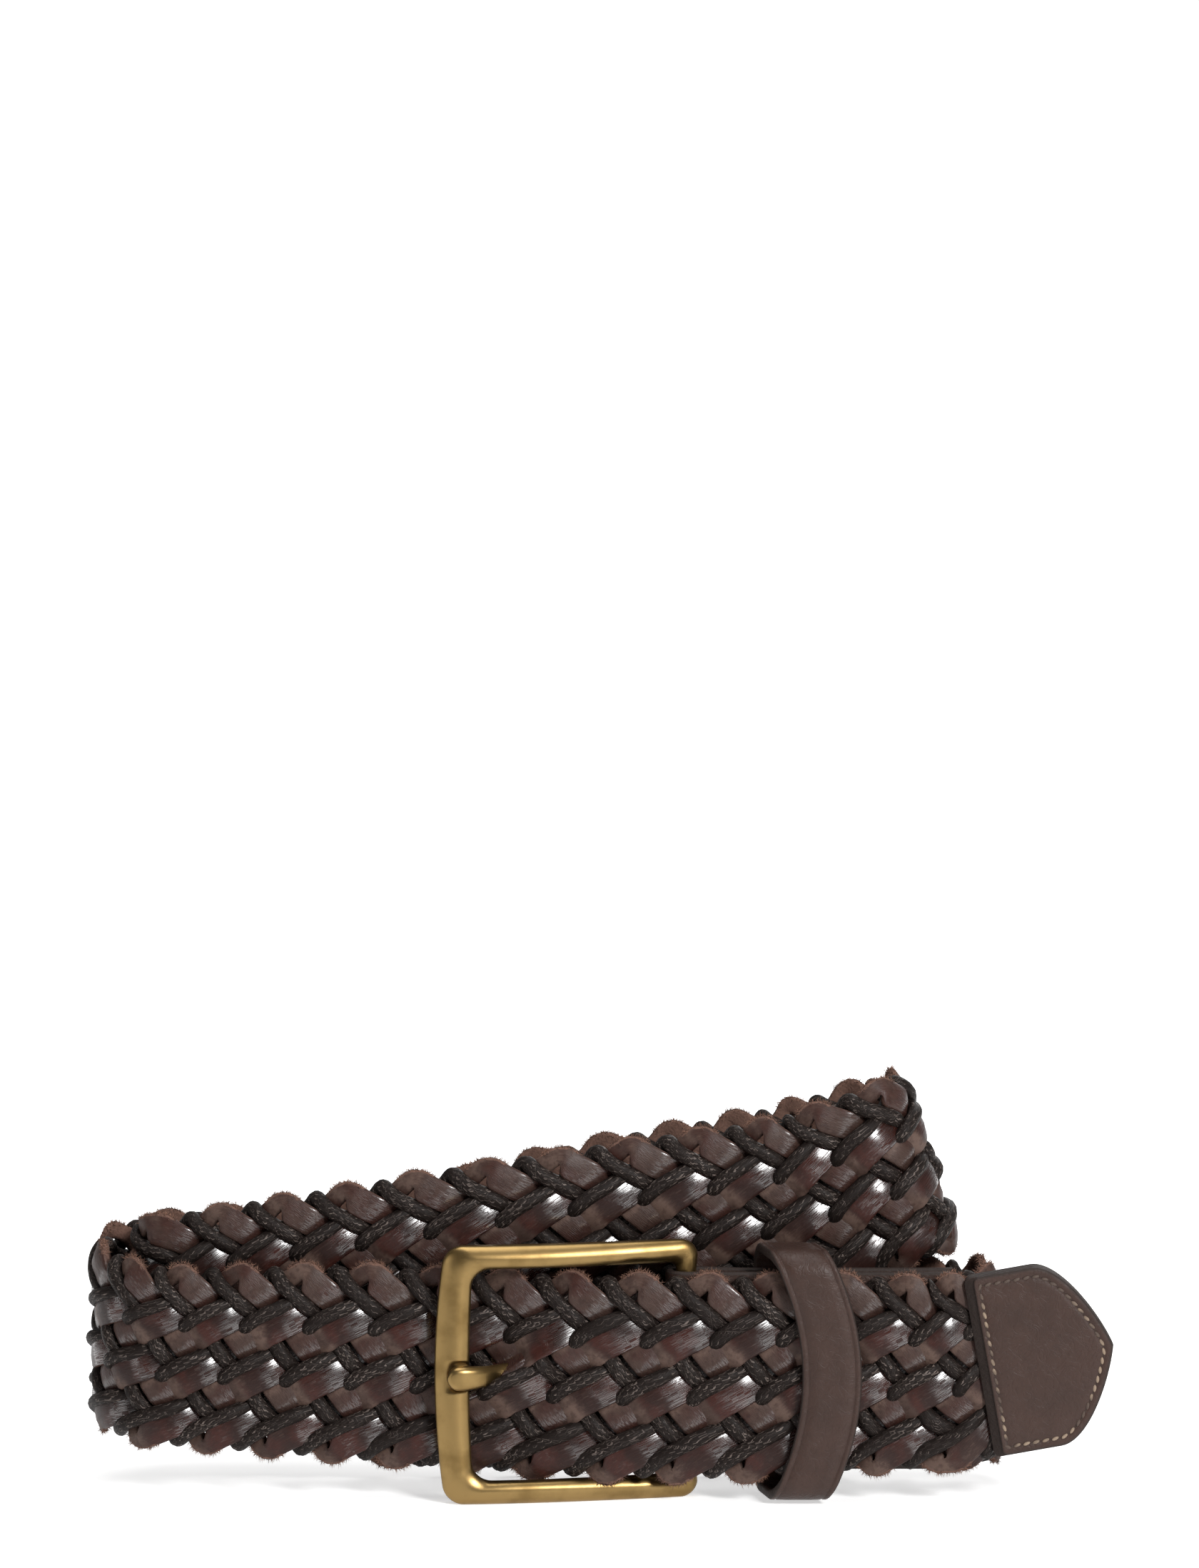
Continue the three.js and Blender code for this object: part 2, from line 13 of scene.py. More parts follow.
import bmesh
import bpy
from bpy.types import ID, Material, Mesh, Node, NodeSocket, NodeTree, Object
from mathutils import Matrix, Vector


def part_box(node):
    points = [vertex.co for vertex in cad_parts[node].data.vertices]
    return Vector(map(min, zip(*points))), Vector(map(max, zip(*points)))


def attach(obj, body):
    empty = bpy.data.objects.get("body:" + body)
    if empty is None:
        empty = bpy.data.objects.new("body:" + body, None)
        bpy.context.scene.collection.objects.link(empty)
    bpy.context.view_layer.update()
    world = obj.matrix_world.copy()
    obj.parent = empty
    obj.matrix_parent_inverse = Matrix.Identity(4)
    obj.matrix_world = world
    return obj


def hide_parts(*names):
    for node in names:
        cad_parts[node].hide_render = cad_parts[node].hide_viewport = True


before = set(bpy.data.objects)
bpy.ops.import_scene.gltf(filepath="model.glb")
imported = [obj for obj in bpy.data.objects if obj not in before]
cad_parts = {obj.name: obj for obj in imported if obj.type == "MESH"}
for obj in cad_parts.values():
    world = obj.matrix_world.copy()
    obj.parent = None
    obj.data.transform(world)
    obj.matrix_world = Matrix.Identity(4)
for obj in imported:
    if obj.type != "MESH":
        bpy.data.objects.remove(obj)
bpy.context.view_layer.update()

LOG = logging.getLogger("belt")
MM = 0.001
BODY = "root"
Point = Tuple[float, float]
Colour = Tuple[float, float, float]


# Node graphs


class Sock:
    """A node socket that takes part in Python expressions, as a number or as a vector."""

    def __init__(self, graph: "Graph", socket: NodeSocket) -> None:
        """Wraps one output socket of a graph."""
        self.graph = graph
        self.socket = socket

    @property
    def is_vector(self) -> bool:
        """True where the socket carries a vector."""
        return self.socket.type in ("VECTOR", "RGBA")

    def __add__(self, other: "Value") -> "Sock":
        """Sum."""
        return self.graph.math("ADD", self, other)

    def __radd__(self, other: "Value") -> "Sock":
        """Sum with the number first."""
        return self.graph.math("ADD", other, self)

    def __sub__(self, other: "Value") -> "Sock":
        """Difference."""
        return self.graph.math("SUBTRACT", self, other)

    def __rsub__(self, other: "Value") -> "Sock":
        """Difference with the number first."""
        return self.graph.math("SUBTRACT", other, self)

    def __mul__(self, other: "Value") -> "Sock":
        """Product; a vector times a number is scaled."""
        return self.graph.math("MULTIPLY", self, other)

    def __rmul__(self, other: "Value") -> "Sock":
        """Product with the number first."""
        return self.graph.math("MULTIPLY", self, other)

    def __truediv__(self, other: "Value") -> "Sock":
        """Quotient."""
        return self.graph.math("DIVIDE", self, other)

    def __mod__(self, other: "Value") -> "Sock":
        """Remainder, never below 0."""
        return self.graph.math("FLOORED_MODULO", self, other)

    def __pow__(self, other: "Value") -> "Sock":
        """Power."""
        return self.graph.math("POWER", self, other)

    def __gt__(self, other: "Value") -> "Sock":
        """1 where greater, else 0."""
        return self.graph.math("GREATER_THAN", self, other)

    def __abs__(self) -> "Sock":
        """Size without its sign."""
        return self.graph.math("ABSOLUTE", self)


Value = Union[float, Sock]


class Graph:
    """Builds the nodes of one material or one Geometry Nodes tree."""

    def __init__(self, tree: NodeTree) -> None:
        """Starts on a tree."""
        self.tree = tree

    def feed(self, socket: NodeSocket, value: object) -> None:
        """Links or sets one input socket.

        Args:
            socket: the input.
            value: a Sock to link, or a plain value to set.
        """
        if isinstance(value, Sock):
            self.tree.links.new(value.socket, socket)
        else:
            socket.default_value = value

    def node(
        self,
        kind: str,
        settings: Optional[Dict[str, object]] = None,
        inputs: Optional[Dict[Union[int, str], object]] = None,
        output: Union[int, str] = 0,
    ) -> Sock:
        """Adds any node.

        Args:
            kind: the node's type.
            settings: its properties, set before its sockets.
            inputs: its sockets by name or number.
            output: the output that is returned.

        Returns:
            The chosen output.
        """
        made = self.tree.nodes.new(kind)
        for name, value in (settings or {}).items():
            setattr(made, name, value)
        for key, value in (inputs or {}).items():
            self.feed(made.inputs[key], value)
        return Sock(self, made.outputs[output])

    def math(self, operation: str, *values: Value) -> Sock:
        """A Math or Vector Math node, by what its values are.

        Args:
            operation: the node's operation.
            values: numbers or sockets.

        Returns:
            The result.
        """
        vectors = [isinstance(value, Sock) and value.is_vector for value in values]
        if not any(vectors):
            return self.node("ShaderNodeMath", {"operation": operation}, dict(enumerate(values)))
        if operation == "MULTIPLY" and not all(vectors):
            vector, number = values if vectors[0] else reversed(values)
            return self.node("ShaderNodeVectorMath", {"operation": "SCALE"}, {0: vector, 3: number})
        output = 1 if operation == "LENGTH" else 0
        return self.node("ShaderNodeVectorMath", {"operation": operation}, dict(enumerate(values)), output)

    def blend(self, share: Value, start: Value, end: Value) -> Sock:
        """Mixes two numbers or two vectors."""
        vector = isinstance(start, Sock) and start.is_vector
        first = 4 if vector else 2
        kind = "VECTOR" if vector else "FLOAT"
        inputs = {0: share, first: start, first + 1: end}
        return self.node("ShaderNodeMix", {"data_type": kind}, inputs, 1 if vector else 0)

    def tint(self, share: Value, start: Union[Sock, Colour], end: Union[Sock, Colour]) -> Sock:
        """Mixes two colours."""
        ends = [tone if isinstance(tone, Sock) else (*tone, 1.0) for tone in (start, end)]
        return self.node("ShaderNodeMix", {"data_type": "RGBA"}, {0: share, 6: ends[0], 7: ends[1]}, 2)

    def vector(self, x: Value, y: Value, z: Value) -> Sock:
        """A vector from three numbers."""
        return self.node("ShaderNodeCombineXYZ", None, {0: x, 1: y, 2: z})

    def parts(self, vector: Sock) -> Tuple[Sock, Sock, Sock]:
        """The three numbers of a vector."""
        made = self.node("ShaderNodeSeparateXYZ", None, {0: vector}).socket.node
        return tuple(Sock(self, made.outputs[k]) for k in range(3))

    def step(self, value: Value, low: float, high: float) -> Sock:
        """0 below low, 1 above high, and smooth between."""
        settings = {"interpolation_type": "SMOOTHSTEP"}
        return self.node("ShaderNodeMapRange", settings, {0: value, 1: low, 2: high, 3: 0.0, 4: 1.0})

    def place(self) -> Sock:
        """The point's place on its object, in metres."""
        return self.node("ShaderNodeTexCoord", output="Object")

    def uv(self) -> Sock:
        """The point's place on the UV map."""
        return self.node("ShaderNodeUVMap", {"uv_map": "UVMap"})

    def attribute(self, name: str) -> Sock:
        """A number that the mesh keeps under a name."""
        return self.node("ShaderNodeAttribute", {"attribute_name": name}, output="Fac")

    def noise(self, vector: Sock, scale: float, detail: float, distortion: float = 0.0) -> Sock:
        """Cloudy noise from 0 to 1."""
        inputs = {"Vector": vector, "Scale": scale, "Detail": detail, "Distortion": distortion}
        return self.node("ShaderNodeTexNoise", None, inputs)

    def cells(self, feature: str, vector: Sock, scale: float) -> Sock:
        """A distance in a pattern of cells, from their edges or from their middles."""
        inputs = {"Vector": vector, "Scale": scale}
        return self.node("ShaderNodeTexVoronoi", {"feature": feature}, inputs)

    def bump(self, height: Sock, strength: float, distance: float) -> Sock:
        """A normal that shows a height."""
        inputs = {"Strength": strength, "Distance": distance, "Height": height}
        return self.node("ShaderNodeBump", None, inputs)


def sine(value: Value) -> Value:
    """Sine of a number or of a socket."""
    return value.graph.math("SINE", value) if isinstance(value, Sock) else math.sin(value)


def cosine(value: Value) -> Value:
    """Cosine of a number or of a socket."""
    return value.graph.math("COSINE", value) if isinstance(value, Sock) else math.cos(value)


def arcsine(value: Value) -> Value:
    """Arcsine of a number or of a socket."""
    return value.graph.math("ARCSINE", value) if isinstance(value, Sock) else math.asin(value)


def exponential(value: Value) -> Value:
    """Exponential of a number or of a socket."""
    return value.graph.math("EXPONENT", value) if isinstance(value, Sock) else math.exp(value)


# Shape helpers


def smooth(share: float) -> float:
    """A smooth step from 0 to 1."""
    share = min(max(share, 0.0), 1.0)
    return share * share * (3 - 2 * share)


def lerp(start: float, end: float, share: float) -> float:
    """A straight mix of two numbers."""
    return start + (end - start) * share


def between(rows: Sequence[Tuple[float, ...]], column: int, along: float) -> float:
    """The value of a table's column between its rows, with no overshoot past a row.

    Args:
        rows: tuples whose first number is the place along.
        column: which number is wanted.
        along: the place.

    Returns:
        The value there.
    """
    last = len(rows) - 1
    row = 0
    while row < last - 1 and along > rows[row + 1][0]:
        row += 1

    def secant(k: int) -> float:
        """Slope from row k to the next."""
        return (rows[k + 1][column] - rows[k][column]) / (rows[k + 1][0] - rows[k][0])

    def slope(k: int) -> float:
        """Slope at row k."""
        if k in (0, last):
            return secant(min(k, last - 1))
        before, after = secant(k - 1), secant(k)
        return 0.0 if before * after <= 0 else 2 * before * after / (before + after)

    span = rows[row + 1][0] - rows[row][0]
    t = (along - rows[row][0]) / span
    start, end = rows[row][column], rows[row + 1][column]
    lead = slope(row) * span * t * (1 - t) ** 2
    trail = slope(row + 1) * span * t * t * (t - 1)
    return start + (end - start) * smooth(t) + lead + trail


def rounded_section(across: float, up: float, corner: float, steps: int) -> List[Point]:
    """A rounded rectangle, as pairs across and up.

    Args:
        across: its size across.
        up: its size up.
        corner: the radius of its corners.
        steps: how many steps cut each corner.

    Returns:
        Its points, anticlockwise.
    """
    points = []
    for quarter, (side, top) in enumerate(((1, 1), (-1, 1), (-1, -1), (1, -1))):
        for step in range(steps + 1):
            angle = (quarter + step / steps) * math.pi / 2
            x = side * (across / 2 - corner) + corner * math.cos(angle)
            y = top * (up / 2 - corner) + corner * math.sin(angle)
            points.append((x, y))
    return points


def add_object(name: str, data: ID) -> Object:
    """Puts a mesh, a light or a camera into the scene as an object at the origin."""
    made = bpy.data.objects.new(name, data)
    bpy.context.scene.collection.objects.link(made)
    return made


def mesh_object(name: str, build: bmesh.types.BMesh, material: Material) -> Object:
    """Makes a smooth-shaded object from a bmesh, with its faces pointing out.

    Args:
        name: the piece's name.
        build: the mesh, which is freed.
        material: its finish.

    Returns:
        The new object, at the origin.
    """
    if build.calc_volume(signed=True) < 0:
        bmesh.ops.reverse_faces(build, faces=build.faces[:])
    mesh = bpy.data.meshes.new(name)
    build.to_mesh(mesh)
    build.free()
    mesh.materials.append(material)
    mesh.shade_smooth()
    return add_object(name, mesh)


def skin(
    rings: Sequence[Sequence[Vector]], closed: bool, rims: Sequence[float] = ()
) -> bmesh.types.BMesh:
    """Skins rings of points, with a UV map that runs along and around in millimetres.

    Args:
        rings: the rings, each with the same number of points, in millimetres.
        closed: True where the last ring joins the first.
        rims: how much each point of a ring counts as a cut edge.

    Returns:
        A closed mesh, in metres.
    """
    build = bmesh.new()
    uv = build.loops.layers.uv.new("UVMap")
    rim = build.verts.layers.float.new("rim")
    verts = [[build.verts.new(point * MM) for point in ring] for ring in rings]
    count = len(rings[0])
    for ring in verts:
        for vert, value in zip(ring, rims):
            vert[rim] = value
    along = [0.0]
    for before, after in zip(rings, rings[1:]):
        along.append(along[-1] + (after[0] - before[0]).length)
    along.append(along[-1] + (rings[0][0] - rings[-1][0]).length)
    around = [0.0]
    for k in range(count):
        around.append(around[-1] + (rings[0][(k + 1) % count] - rings[0][k]).length)
    for r in range(len(rings) if closed else len(rings) - 1):
        here, there = verts[r], verts[(r + 1) % len(rings)]
        for k in range(count):
            n = (k + 1) % count
            face = build.faces.new((here[k], here[n], there[n], there[k]))
            corners = ((r, k), (r, k + 1), (r + 1, k + 1), (r + 1, k))
            for loop, (row, column) in zip(face.loops, corners):
                loop[uv].uv = (along[row], around[column])
    if not closed:
        build.faces.new(verts[0][::-1])
        build.faces.new(verts[-1])
    return build


def finish_piece(piece: Object, slot: str, *nodes: str) -> Object:
    """Fastens a piece to the belt's body, hides the parts that it stands for and logs its faces.

    Args:
        piece: the piece.
        slot: not used.
        nodes: the nodes that it stands for.

    Returns:
        The piece.
    """
    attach(piece, BODY)
    if nodes:
        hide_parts(*nodes)
    LOG.info("%s: %d faces", piece.name, len(piece.data.polygons))
    return piece


def bake_modifiers(piece: Object) -> None:
    """Turns a piece's evaluated shape into its plain mesh."""
    graph = bpy.context.evaluated_depsgraph_get()
    mesh = bpy.data.meshes.new_from_object(piece.evaluated_get(graph), depsgraph=graph)
    piece.modifiers.clear()
    mesh.name = piece.name
    piece.data = mesh


def combine(piece: Object, operation: str, tool: Object) -> None:
    """Joins a tool to a piece or cuts it out, and removes the tool.

    Args:
        piece: the piece.
        operation: UNION or DIFFERENCE.
        tool: a closed object.
    """
    modifier = piece.modifiers.new("combine", "BOOLEAN")
    modifier.operation = operation
    modifier.solver = "EXACT"
    modifier.object = tool
    bake_modifiers(piece)
    bpy.data.objects.remove(tool)
    piece.data.shade_smooth()


def run_nodes(host: Object, tree: NodeTree, values: Dict[str, object]) -> None:
    """Runs a Geometry Nodes tree on a host, whose mesh becomes the result.

    Args:
        host: the object.
        tree: the tree.
        values: the tree's inputs by name.
    """
    modifier = host.modifiers.new(tree.name, "NODES")
    modifier.node_group = tree
    for item in tree.interface.items_tree:
        if item.in_out == "INPUT" and item.name in values:
            modifier[item.identifier] = values[item.name]
    bake_modifiers(host)


# Sizes and the strap's way through the coil


@dataclass(frozen=True)
class Sizes:
    """The belt's sizes in millimetres, measured from the buckle's pivot bar."""

    clearance: float = 0.3
    leather: float = 1.5
    width: float = 35.0
    thickness: float = 4.7
    tongue_thickness: float = 2.0
    layer_gap: float = 2.3
    loop_depth: float = 13.0
    left_turn: float = 87.6
    inner_inset: float = 0.8
    upper_turn: float = 32.9
    riser_ease: float = 0.4
    lower_reach: float = 7.0
    frame_length: float = 43.5
    frame_bow: float = 1.8
    inner_bow: float = 0.9
    bar: float = 4.0
    left_bar: float = 5.1
    bar_depth: float = 4.0
    outer_corner: float = 3.2
    inner_corner: float = 3.0
    pivot_outer_corner: float = 3.0
    pivot_inner_corner: float = 1.2
    frame_slack: float = 1.0
    end_past: float = 2.1
    arch: float = 1.5
    pivot_diameter: float = 3.4
    pivot_setback: float = 9.2
    prong_width: float = 4.2
    prong_thickness: float = 2.6
    eye_wall: float = 1.2
    tip_inset: float = 2.2
    notch: float = 0.6
    chape_length: float = 46.0
    chape_inset: float = 0.3
    chape_ease: float = 12.0
    keeper_wall: float = 1.8
    keeper_band: float = 10.2
    keeper_slack: float = 2.5
    keeper_corner: float = 3.4
    keeper_seat: float = 16.9
    keeper_skew: float = 3.0
    keeper_bow: float = 5.1
    tab_length: float = 23.4
    tab_inset: float = 1.7
    tab_wall: float = 1.1
    tab_straight: float = 0.5
    tab_shoulder: float = 0.72
    tab_nose: float = 5.0
    tab_corner: float = 1.2
    tip_reach: float = 50.0
    tip_slope: float = 0.15
    tip_slope_length: float = 8.0

    @property
    def frame_height(self) -> float:
        """Height of the buckle's frame."""
        return self.width + 2 * (self.bar + self.frame_slack)

    @property
    def level(self) -> float:
        """Height of the buckle's middle."""
        return self.frame_height / 2

    @property
    def half(self) -> float:
        """Half the strap's thickness."""
        return self.thickness / 2

    @property
    def fold_inner(self) -> float:
        """Inner radius of the chape's fold."""
        return self.pivot_diameter / 2 + self.clearance

    @property
    def fold_outer(self) -> float:
        """Outer radius of the chape's fold."""
        return self.fold_inner + self.leather

    @property
    def tip_depth(self) -> float:
        """Depth of the tip's run."""
        return self.pivot_setback - self.fold_outer - self.clearance - self.half

    @property
    def left_depth(self) -> float:
        """Depth of the front run behind the left bar."""
        return self.bar_depth + self.clearance + self.half

    @property
    def pocket(self) -> float:
        """Room between two leather layers for the strap's end."""
        return self.tongue_thickness + 2 * self.clearance

    @property
    def chape_front(self) -> float:
        """Depth of the chape's front face."""
        return self.pivot_setback - self.fold_outer

    @property
    def chape_back(self) -> float:
        """Depth of the chape's back face."""
        return self.chape_front + 2 * self.leather + self.pocket

    @property
    def keeper_front(self) -> float:
        """Depth of the keeper's front face."""
        return self.tip_depth - self.half - self.clearance - self.keeper_wall

    @property
    def keeper_back(self) -> float:
        """Depth of the keeper's back face."""
        return self.chape_back + self.clearance + self.keeper_wall

    @property
    def layer(self) -> float:
        """Pitch of the coil's layers."""
        return self.thickness + self.layer_gap

    @property
    def frame_left(self) -> float:
        """X of the frame's left corners."""
        return self.end_past - self.frame_length

    @property
    def bar_inner(self) -> float:
        """X of the left bar's inner side."""
        return self.frame_left + self.left_bar - self.inner_bow

    @property
    def prong_tip(self) -> float:
        """X of the prong's tip."""
        return self.frame_left - self.frame_bow + self.tip_inset

    @property
    def tab_height(self) -> float:
        """Height of the tip tab."""
        return self.width - 2 * self.tab_inset

    @property
    def tab_thickness(self) -> float:
        """Thickness of the tip tab."""
        return self.pocket + 2 * self.tab_wall

    def origin(self) -> Vector:
        """The pivot bar's place in the frame, in millimetres, from the chape's box."""
        low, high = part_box("chape")
        return Vector((high[0] / MM - self.chape_length, low[1] / MM - self.chape_front, 0.0))


@dataclass
class Station:
    """A place on the strap's guide line."""

    place: Vector
    breadth: float
    lean: float
    pitch: float


@dataclass(frozen=True)
class Run:
    """A nearly straight stretch of the strap.

    Each row holds the place along, the share of the buckle's middle height, the lift as a share of
    the strap's width, and the breadth. Pitch is the braid's repeat at the start and at the end, and
    how much it is stretched midway. Probe is the share of the run over which an end's slope is read.
    """

    start: float
    end: float
    near: float
    far: float
    ease: Tuple[float, float]
    rows: Tuple[Tuple[float, float, float, float], ...]
    pitch: Tuple[float, float, float]
    probe: float = 0.001

    def station(self, sizes: Sizes, x: float) -> Station:
        """The station at one X."""
        along = (x - self.start) / (self.end - self.start)
        depth = lerp(self.near, self.far, smooth((x - self.ease[0]) / (self.ease[1] - self.ease[0])))
        height = between(self.rows, 1, along) * sizes.level + between(self.rows, 2, along) * sizes.width
        pitch = lerp(self.pitch[0], self.pitch[1], along) + self.pitch[2] * math.sin(math.pi * along)
        return Station(Vector((x, depth, height)), between(self.rows, 3, along), 0.0, pitch)

    def lean(self, sizes: Sizes, x: float) -> float:
        """The run's slope at one of its ends, as an angle."""
        step = (self.end - self.start) * self.probe
        inward = step if x == self.start else -step
        rise = self.station(sizes, x + inward).place.z - self.station(sizes, x).place.z
        return math.atan(rise / inward)

    def stations(self, sizes: Sizes, spacing: float) -> List[Station]:
        """Stations all along the run."""
        count = math.ceil(abs(self.end - self.start) / spacing)
        return [self.station(sizes, lerp(self.start, self.end, k / count)) for k in range(count + 1)]


@dataclass
class Route:
    """The strap's whole way: chape, lower run, inner turn, riser, upper turn, upper run, front run.

    Inside is how far each end of the braid reaches into its leather, and the breadths are the
    braid's there.
    """

    sizes: Sizes
    spacing: float = 1.0
    turn_steps: int = 36
    inside: float = 3.0
    chape_breadth: float = 0.97
    tip_breadth: float = 0.86

    def runs(self) -> Dict[str, Run]:
        """The four runs, in order.

        Returns:
            Each run by its name.
        """
        s = self.sizes
        outer_x = -s.left_turn
        inner_x = outer_x + s.inner_inset
        lower_x = s.chape_length + s.clearance
        tip_x = s.tip_reach - s.clearance
        lower_depth = s.left_depth + s.layer + s.loop_depth
        upper_depth = lower_depth + s.layer
        riser_depth = s.keeper_back + 2 * s.clearance + s.half
        slope_from = 1 - s.tip_slope_length / (tip_x - outer_x)
        slope_lift = s.tip_slope * s.tip_slope_length / s.width
        over_bar = [(x - lower_x) / (inner_x - lower_x) for x in (s.end_past, s.frame_left)]
        lower = (
            (0.0, 1, -0.03, 1.0),
            (over_bar[0], 0, 0.53, 1.0),
            (over_bar[1], 0, 0.53, 1.0),
            (1.0, 1, 0.14, 0.91),
        )
        riser = (
            (0.0, 1, 0.297, 0.92),
            (0.2, 1, 0.39, 0.96),
            (0.46, 1, 0.537, 0.97),
            (0.7, 1, 0.655, 0.96),
            (0.88, 1, 0.757, 0.95),
            (1.0, 1, 0.897, 0.94),
        )
        upper = (
            (0.0, 1, 0.865, 0.94),
            (0.115, 1, 0.74, 0.96),
            (0.4, 1, 0.545, 0.98),
            (0.6, 1, 0.38, 0.97),
            (0.75, 1, 0.25, 0.96),
            (1.0, 1, 0.212, 0.92),
        )
        front = (
            (0.0, 1, 0.063, 0.92),
            (0.24, 1, 0.03, 1.0),
            (0.36, 1, 0.0, 1.02),
            (0.5, 1, -0.02, 1.04),
            (0.68, 1, -0.02, 1.04),
            (0.84, 1, 0.0, 1.0),
            (slope_from, 1, 0.0, 0.98),
            (1.0, 1, slope_lift, 0.95),
        )
        straight = (inner_x, lower_x)
        return {
            "lower": Run(lower_x, inner_x, lower_depth, lower_depth, straight, lower, (10.6, 9.8, 1.0)),
            "riser": Run(
                inner_x,
                s.upper_turn,
                s.left_depth + s.layer,
                riser_depth,
                (inner_x * s.riser_ease, -s.fold_outer),
                riser,
                (10.4, 11.0, 1.8),
            ),
            "upper": Run(
                s.upper_turn,
                outer_x,
                upper_depth,
                upper_depth,
                straight,
                upper,
                (11.0, 10.4, 1.2),
            ),
            "front": Run(
                outer_x,
                tip_x,
                s.left_depth,
                s.tip_depth,
                (s.bar_inner, -s.fold_outer),
                front,
                (10.2, 10.4, 1.7),
            ),
        }

    def turn(self, start: Station, end: Station, reach: float, leans: Tuple[float, float]) -> List[Station]:
        """Half a turn from one station to the next.

        Args:
            start: where it starts.
            end: where it ends.
            reach: how far it swings past its ends, along X.
            leans: the lean at its start and its end.

        Returns:
            The stations between the two.
        """
        made = []
        middle = (start.place.y + end.place.y) / 2
        radius = (end.place.y - start.place.y) / 2
        for k in range(1, self.turn_steps):
            share = k / self.turn_steps
            angle = share * math.pi
            lean = lerp(leans[0], leans[1], smooth(share))
            out = reach * math.sin(angle)
            x = lerp(start.place.x, end.place.x, share) + out
            z = lerp(start.place.z, end.place.z, smooth(share)) + out * math.tan(lean)
            place = Vector((x, middle - radius * math.cos(angle), z))
            breadth = lerp(start.breadth, end.breadth, smooth(share))
            made.append(Station(place, breadth, lean, lerp(start.pitch, end.pitch, share)))
        return made

    def stations(self) -> List[Station]:
        """Every station, with a short tail inside the chape and inside the tip tab.

        Returns:
            The stations from the chape to the tip.
        """
        s = self.sizes
        runs = self.runs()
        lower, riser, upper, front = runs["lower"], runs["riser"], runs["upper"], runs["front"]
        depth = s.chape_front + s.leather + s.pocket / 2
        pitch = lower.pitch[0]
        first = Station(Vector((lower.start, depth, s.level)), 1.0, 0.0, pitch)
        made = [
            Station(first.place + Vector((-tail, 0, 0)), self.chape_breadth, 0.0, pitch)
            for tail in (self.inside, self.inside / 2)
        ]
        made.append(first)
        entry = lower.station(s, lower.start)
        made += self.turn(first, entry, s.lower_reach, (0.0, lower.lean(s, lower.start)))
        made += lower.stations(s, self.spacing)
        for before, after, sign in ((lower, riser, -1), (riser, upper, 1), (upper, front, -1)):
            start, end = before.station(s, before.end), after.station(s, after.start)
            reach = sign * abs(end.place.y - start.place.y) / 2
            leans = (before.lean(s, before.end), after.lean(s, after.start))
            made += self.turn(start, end, reach, leans)
            made += after.stations(s, self.spacing)
        last = made[-1]
        forward = (last.place - made[-3].place).normalized()
        for tail in (self.inside / 2, self.inside):
            made.append(Station(last.place + forward * tail, self.tip_breadth, 0.0, last.pitch))
        return made


@dataclass
class Guide:
    """The strap's guide line: evenly spaced in the braid's own repeats, not in millimetres.

    Towards its ends the braid is pressed to a share of its thickness, end_loft, over end_ease
    millimetres, and end_start is the share of that way gone where the leather begins.
    """

    route: Route
    per_repeat: int = 12
    end_loft: float = 0.44
    end_ease: float = 4.5
    end_start: float = 0.3
    repeats: float = 0.0
    places: List[Vector] = field(default_factory=list)
    phases: List[float] = field(default_factory=list)

    def build(self) -> Object:
        """Makes the guide as a line of points that carry the strap's directions.

        Returns:
            A mesh object whose points hold out, up and loft.
        """
        stations = self.route.stations()
        origin = self.route.sizes.origin()
        places = [station.place + origin for station in stations]
        lengths, phases = [0.0], [0.0]
        for k in range(1, len(places)):
            step = (places[k] - places[k - 1]).length
            lengths.append(lengths[-1] + step)
            phases.append(phases[-1] + step / ((stations[k].pitch + stations[k - 1].pitch) / 2))
        self.repeats = phases[-1]
        self.places, self.phases = places, phases
        count = math.ceil(self.repeats * self.per_repeat)
        points, outs, ups, lofts = [], [], [], []
        k = 0
        for n in range(count + 1):
            phase = min(n / self.per_repeat, self.repeats)
            while k < len(phases) - 2 and phases[k + 1] < phase:
                k += 1
            share = (phase - phases[k]) / (phases[k + 1] - phases[k])
            before, after = places[max(k - 1, 0)], places[min(k + 2, len(places) - 1)]
            forward = (after - before).normalized()
            lean = lerp(stations[k].lean, stations[k + 1].lean, share)
            out = forward.cross(Vector((-math.sin(lean), 0, math.cos(lean)))).normalized()
            breadth = lerp(stations[k].breadth, stations[k + 1].breadth, share)
            length = lerp(lengths[k], lengths[k + 1], share)
            edge = min(length, lengths[-1] - length) - self.route.inside
            points.append(places[k].lerp(places[k + 1], share) * MM)
            outs.append(out)
            ups.append(out.cross(forward) * breadth)
            lofts.append(lerp(self.end_loft, 1.0, smooth(edge / self.end_ease + self.end_start)))
        mesh = bpy.data.meshes.new("strap_guide")
        mesh.from_pydata(points, [(n, n + 1) for n in range(count)], [])
        for name, values in (("out", outs), ("up", ups)):
            layer = mesh.attributes.new(name, "FLOAT_VECTOR", "POINT")
            layer.data.foreach_set("vector", [part for value in values for part in value])
        layer = mesh.attributes.new("loft", "FLOAT", "POINT")
        layer.data.foreach_set("value", lofts)
        return add_object("strap_guide", mesh)

    def phase_at(self, x: float, depth: float) -> float:
        """The braid's phase at the guide's point nearest to a place, in millimetres of the frame."""
        target = Vector((x, depth, 0.0))
        flat = [Vector((place.x, place.y, 0.0)) for place in self.places]
        nearest = min(range(len(flat)), key=lambda k: (flat[k] - target).length)
        return self.phases[nearest]


class Strand(Enum):
    """The two kinds of strand in the braid."""

    STRIP = "leather_strip"
    CORD = "elastic_cord"


